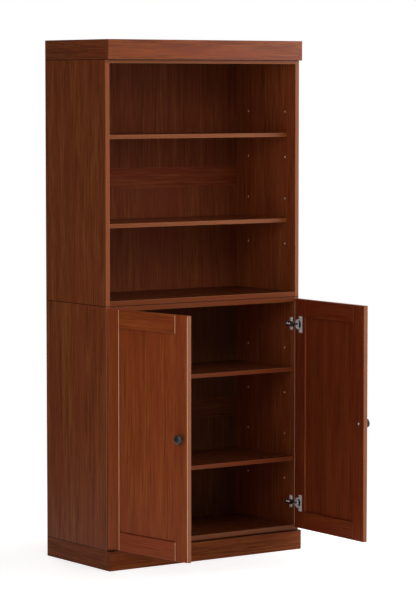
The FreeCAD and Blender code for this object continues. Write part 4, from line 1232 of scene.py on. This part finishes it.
def makeFloor():
    material, tree = emptyMaterial("paleFloor")
    place = addNode(tree, "ShaderNodeTexCoord").outputs["Object"]
    away = wired(tree, "ShaderNodeVectorMath", {0: place}, operation="LENGTH")["Value"]
    white = spread(tree, away, *stage["white"])
    seen = seenDirectly(tree)
    footLow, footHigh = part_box("plinth_back")
    inside = {"Low": (footLow.x, -footHigh.y, -1), "High": (footHigh.x, footHigh.y, 1)}
    under = placeGroup(tree, insideBox, Vector=place, **inside)["Mask"]
    clear = times(tree, maths(tree, "SUBTRACT", 1.0, under), stage["floorLift"])
    diffuse = wired(tree, "ShaderNodeBsdfDiffuse", {"Color": solid(stage["floorColour"])})[0]
    lift = wired(tree, "ShaderNodeEmission", {"Strength": times(tree, seen, clear)})[0]
    lifted = wired(tree, "ShaderNodeAddShader", {0: diffuse, 1: lift})[0]
    plain = addNode(tree, "ShaderNodeEmission").outputs[0]
    faded = wired(tree, "ShaderNodeMixShader", {0: times(tree, white, seen), 1: lifted, 2: plain})[0]
    wired(tree, "ShaderNodeOutputMaterial", {"Surface": faded})
    half = stage["floorSize"] / 2
    corners = [(-half, -half, 0), (half, -half, 0), (half, half, 0), (-half, half, 0)]
    stageSheet("floor", corners, material)


def makeRoom():
    world = bpy.data.worlds.new("room")
    bpy.context.scene.world = world
    world.use_nodes = True
    tree = world.node_tree
    tree.nodes.clear()
    white = mixColour(tree, seenDirectly(tree), solid(stage["roomLight"]), solid((1, 1, 1)))
    background = wired(tree, "ShaderNodeBackground", {"Color": white})[0]
    wired(tree, "ShaderNodeOutputWorld", {"Surface": background})


def around(heading, distance, height=0.0):  # heading 0 is straight ahead of the doors, 90 their right
    turn = math.radians(heading)
    return Vector((distance * math.sin(turn), -distance * math.cos(turn), height))


# Black cloths that stand round the set, out of the camera's sight, so that the sides of the
# case and the left of its front keep their colour under the white room.
cloths = {
    "sideCloth": {"heading": -140, "distance": 1.6, "width": 2.6, "height": 2.6},
    "frontCloth": {"heading": 15, "distance": 3.0, "width": 1.9, "height": 3.4},
}
clothColour = (0.01, 0.01, 0.01)


def makeCloths():
    material = bpy.data.materials.new("blackCloth")
    material.use_nodes = True
    material.node_tree.nodes["Principled BSDF"].inputs["Base Color"].default_value = solid(clothColour)
    for name, look in cloths.items():
        middle = around(look["heading"], look["distance"])
        side = around(look["heading"] + 90, look["width"] / 2)
        rise = Vector((0, 0, look["height"]))
        corners = [middle - side, middle + side, middle + side + rise, middle - side + rise]
        cloth = stageSheet(name, corners, material)
        cloth.visible_camera = False
        cloth.visible_diffuse = False
        cloth.visible_shadow = False


lamps = {
    "rightLamp": {"heading": 75, "distance": 4.0, "height": 1.7, "size": (2.0, 2.0), "power": 95},
    "topLamp": {"heading": 0, "distance": 2.9, "height": 3.3, "size": (4.0, 2.0), "power": 39},
    "leftLamp": {"heading": -72, "distance": 2.6, "height": 0.95, "size": (2.0, 2.0), "power": 8.5},
    "keyLamp": {"heading": -46, "distance": 4.0, "height": 1.7, "size": (2.0, 2.0), "power": 14},
    "sheenLamp": {"heading": 57, "distance": 3.2, "height": 1.4, "size": (2.2, 2.4), "power": 30},
    "frontLamp": {"heading": 20, "distance": 4.0, "height": 1.7, "size": (2.0, 2.0), "power": 20},
    "backLamp": {"heading": 170, "distance": 4.0, "height": 1.7, "size": (2.0, 2.0), "power": 60},
}
lampTarget = Vector((0, 0, 0.95))


def makeLamps():
    for name, look in lamps.items():
        data = bpy.data.lights.new(name, "AREA")
        data.shape = "RECTANGLE"
        data.size, data.size_y = look["size"]
        data.energy = look["power"]
        lamp = addObject(name, data)
        lamp.location = around(look["heading"], look["distance"], look["height"])
        towards = lampTarget - lamp.location
        lamp.rotation_euler = towards.to_track_quat("-Z", "Y").to_euler()
        lamp.visible_camera = False


cameraView = {
    "place": (-5.4987, -8.0154, 1.6470),
    "heading": 35.166,  # degrees to the right of straight back
    "downward": 4.557,
    "sensor": 36.0,
    "lens": 163.22,
    "reach": 60.0,
}


def makeCamera():
    data = bpy.data.cameras.new("camera")
    data.sensor_width = cameraView["sensor"]
    data.lens = cameraView["lens"]
    data.clip_end = cameraView["reach"]
    camera = addObject("camera", data)
    camera.location = cameraView["place"]
    camera.rotation_euler = (
        math.radians(90 - cameraView["downward"]), 0.0, math.radians(-cameraView["heading"])
    )
    bpy.context.scene.camera = camera


makeFloor()
makeRoom()
makeCloths()
makeLamps()
makeCamera()
bpy.context.scene.view_settings.view_transform = "Standard"
print("stage set")
